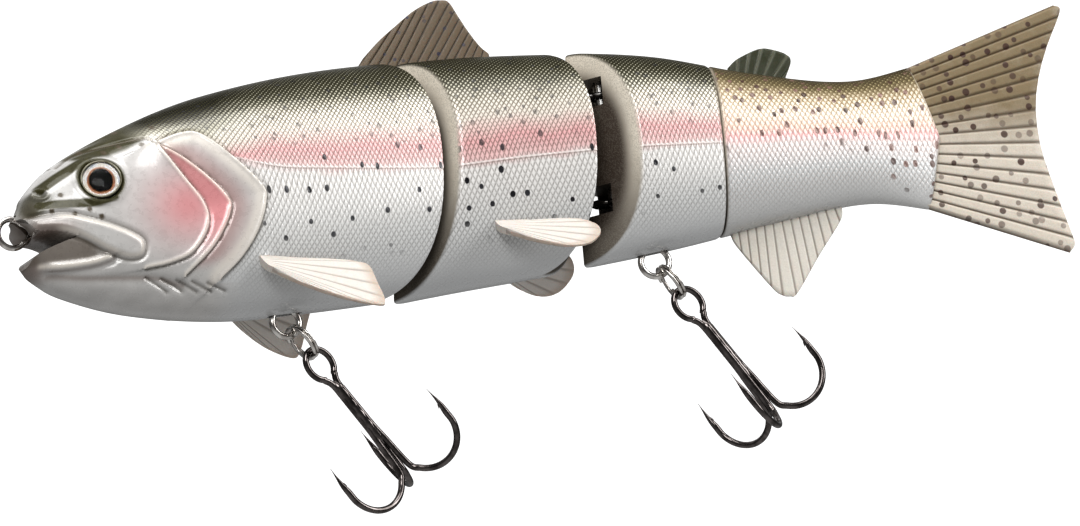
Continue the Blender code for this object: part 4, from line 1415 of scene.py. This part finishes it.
def split_ring(end):
    """Two turns of flattened wire lying on each other, stepping across where the coil passes over."""
    turns = np.linspace(0.06, 1.94, 150)
    angle = 2 * pi * turns
    offset = COIL_OFFSET * (2 * step(0.8, 1.2, turns) - 1)
    path = np.stack([offset, RING_RADIUS * np.cos(angle), RING_RADIUS * np.sin(angle) - RING_DROP], -1)
    points, faces = tube(path, COIL_WIRE, 16, squash=COIL_FLATNESS, side_hint=(1, 0, 0))
    place(f"{end}_ring_coil", points, faces, f"{end}_ring", NICKEL, (f"{end}_split_ring",))


EYE_WIRE, HOOK_WIRE = 0.7, 0.72  # radii of the treble's wires
EYE_HALF_WIDTH, EYE_HALF_HEIGHT = 2.85, 3.6
BARB_WIRE = np.array([0.34, 0.32, 0.3, 0.26, 0.2, 0.14, 0.08, 0.03])


def treble_shank():
    """The teardrop eye with its legs, and the brazed core that holds the three hooks."""
    a = np.radians(np.linspace(-62, 242, 56))
    loop = np.stack([EYE_HALF_WIDTH * np.cos(a), 0 * a, EYE_HALF_HEIGHT * np.sin(a)], -1)
    leg = np.array([(1.5, 0, -3.3), (0.8, 0, -4.6), (0.55, 0, -7), (0.5, 0, -16)])
    loop = np.vstack([leg[::-1], loop, leg * [-1, 1, 1]])
    rows = np.arange(24)
    core = np.stack([0.0 * rows, 0.0 * rows, np.linspace(-4.6, -21.5, 24)], -1)
    swell = 1.2 + 0.1 * np.sin(rows * 1.7) * np.linspace(0.3, 1, 24)
    ends = np.clip(np.minimum(rows, 23 - rows) / 3 + 0.35, 0, 1)
    return [tube(smoothed(loop, 150), EYE_WIRE, 16), tube(core, swell * ends, 20)]


def hook_route():
    """One hook in its own plane, as (distance from the shank, height below the eye)."""
    radius = TREBLE_GAPE / 2 - 0.4
    bend_x, bend_z = TREBLE_GAPE - radius, radius - TREBLE_LENGTH
    arc = [(bend_x + radius * cos(b), bend_z + radius * sin(b)) for b in np.radians(np.linspace(205, 368, 9))]
    shank = [(0.62, -6.5), (0.66, -12.0), (0.7, -17.0), (0.95, -20.6)]
    point = [(TREBLE_GAPE + 0.05, -21.4), (TREBLE_GAPE - 0.25, -TREBLE_POINT)]
    return smoothed(shank + arc + point, 110)


def hook(angle):
    """One tapered hook and its barb, turned by an angle about the shank."""
    c, s = cos(angle), sin(angle)

    def swung(flat):
        return np.stack([flat[:, 0] * c, flat[:, 0] * s, flat[:, 1]], -1)

    route = hook_route()
    thick = HOOK_WIRE * (1 - step(0.86, 1.0, np.linspace(0, 1, len(route))) * 0.93)
    barb_at = route[int(len(route) * 0.915)]
    barb = smoothed(barb_at + np.array([[0.1, 0.2], [-0.45, -0.25], [-0.95, -1.05]]), len(BARB_WIRE))
    return [
        tube(swung(route), thick, 14, side_hint=(-s, c, 0)),
        tube(swung(barb), BARB_WIRE, 8, side_hint=(-s, c, 0)),
    ]


def treble(end, first_angle):
    """Three barbed hooks brazed round the shank below a teardrop eye."""
    pieces = treble_shank()
    for k in range(3):
        pieces += hook(radians(first_angle + 120 * k))
    points, faces = joined(*pieces)
    points = points - [0, 0, TREBLE_EYE_DROP]
    node = f"{end}_treble"
    place(node + "_wire", points, faces, f"{end}_hook", BLACK_NICKEL, (node,))


split_ring("front")
split_ring("rear")
treble("front", -49)
treble("rear", 2)

INNER = {
    "ballast": inner_look("cast_ballast", (0.10, 0.10, 0.11), (0.26, 0.26, 0.28), 0.8, 0.6),
    "pin": inner_look("pin_steel", (0.30, 0.30, 0.29), (0.48, 0.47, 0.46), 1.0, 0.3),
    "peg": inner_look("moulded_peg", (0.62, 0.60, 0.56), (0.72, 0.71, 0.68), 0.0, 0.5),
}
for node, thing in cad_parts.items():
    for word, look in INNER.items():
        if node.endswith(word):
            thing.material_slots[0].material = look


# ---------------------------------------------------------------- light, camera and view transform


SKY = [(0.0, 0.55), (0.25, 0.44), (0.46, 0.14), (0.60, 0.12), (0.80, 0.46), (1.0, 0.60)]  # nadir to zenith
WHITE = 1.05  # a little over 1, so that it is drawn as pure white


def world_light():
    """White where the camera looks; for lighting, bright overhead and below and dim at the horizon."""
    world = bpy.data.worlds.new("white_surround")
    bpy.context.scene.world = world
    world.use_nodes = True
    world.node_tree.nodes.clear()
    nodes = Nodes(world.node_tree)
    height = nodes.parts(nodes.node("TexCoord").outputs["Generated"])[2]
    lighting, seen = nodes.node("Background"), nodes.node("Background")
    level = nodes.times_plus(height, 0.5, 0.5)
    nodes.feed(lighting.inputs["Color"], nodes.ramp(level, [(at, (grey, grey, grey)) for at, grey in SKY]))
    nodes.feed(seen.inputs["Color"], (WHITE, WHITE, WHITE))
    mix, output = nodes.node("MixShader"), nodes.node("OutputWorld")
    nodes.feed(mix.inputs[0], nodes.node("LightPath").outputs["Is Camera Ray"])
    nodes.feed(mix.inputs[1], lighting.outputs[0])
    nodes.feed(mix.inputs[2], seen.outputs[0])
    nodes.feed(output.inputs["Surface"], mix.outputs[0])


def area_light(name, position, target, size, power):
    lamp = bpy.data.lights.new(name, "AREA")
    lamp.shape = "RECTANGLE"
    lamp.size, lamp.size_y = size
    lamp.energy = power
    thing = bpy.data.objects.new(name, lamp)
    thing.location = position
    thing.rotation_euler = (Vector(target) - Vector(position)).to_track_quat("-Z", "Y").to_euler()
    bpy.context.scene.collection.objects.link(thing)


# The camera looks from ahead, from the fish's left and from a little below
CAMERA_AZIMUTH, CAMERA_ELEVATION, CAMERA_ROLL = -27.0, -12.0, 8.0
CAMERA_DISTANCE = 1500.0
IMAGE_WIDTH, IMAGE_HEIGHT = 1080, 526
IMAGE_SCALE = 4.68  # image units for each millimetre at the front hinge
HINGE_IN_IMAGE = (431.1, 167.7)  # the front hinge's centre, from the image's upper left corner


def camera():
    a, e, roll = radians(CAMERA_AZIMUTH), radians(CAMERA_ELEVATION), radians(CAMERA_ROLL)
    right = Vector((cos(a), sin(a), 0))
    back = Vector((sin(a) * cos(e), -cos(a) * cos(e), sin(e)))
    up = back.cross(right)
    right, up = right * cos(roll) - up * sin(roll), right * sin(roll) + up * cos(roll)
    hinge = Vector((FRONT_HINGE, 0, -TIE_DEPTH))
    across = (IMAGE_WIDTH / 2 - HINGE_IN_IMAGE[0]) / IMAGE_SCALE
    upward = (HINGE_IN_IMAGE[1] - IMAGE_HEIGHT / 2) / IMAGE_SCALE
    data = bpy.data.cameras.new("front_left_view")
    data.sensor_width = 36
    data.lens = IMAGE_SCALE * CAMERA_DISTANCE * data.sensor_width / IMAGE_WIDTH
    data.clip_end = 50
    thing = bpy.data.objects.new("front_left_view", data)
    position = (hinge + back * CAMERA_DISTANCE + right * across + up * upward) * MM
    thing.matrix_world = Matrix.Translation(position) @ Matrix((right, up, back)).transposed().to_4x4()
    bpy.context.scene.collection.objects.link(thing)
    bpy.context.scene.camera = thing


bpy.context.scene.view_settings.view_transform = "Standard"
bpy.context.scene.view_settings.look = "Medium High Contrast"
world_light()
MIDDLE_OF_LURE = (0.11, 0, 0.01)
area_light("top_softbox", (-0.05, -0.35, 0.75), MIDDLE_OF_LURE, (0.8, 0.35), 4.7)
area_light("left_softbox", (-0.30, -0.75, 0.36), MIDDLE_OF_LURE, (0.45, 0.4), 4.2)
area_light("tail_strip", (0.6, -0.5, 0.3), MIDDLE_OF_LURE, (0.25, 0.7), 3.6)
area_light("back_fill", (0.2, 0.6, 0.5), MIDDLE_OF_LURE, (0.8, 0.4), 0.5)
camera()
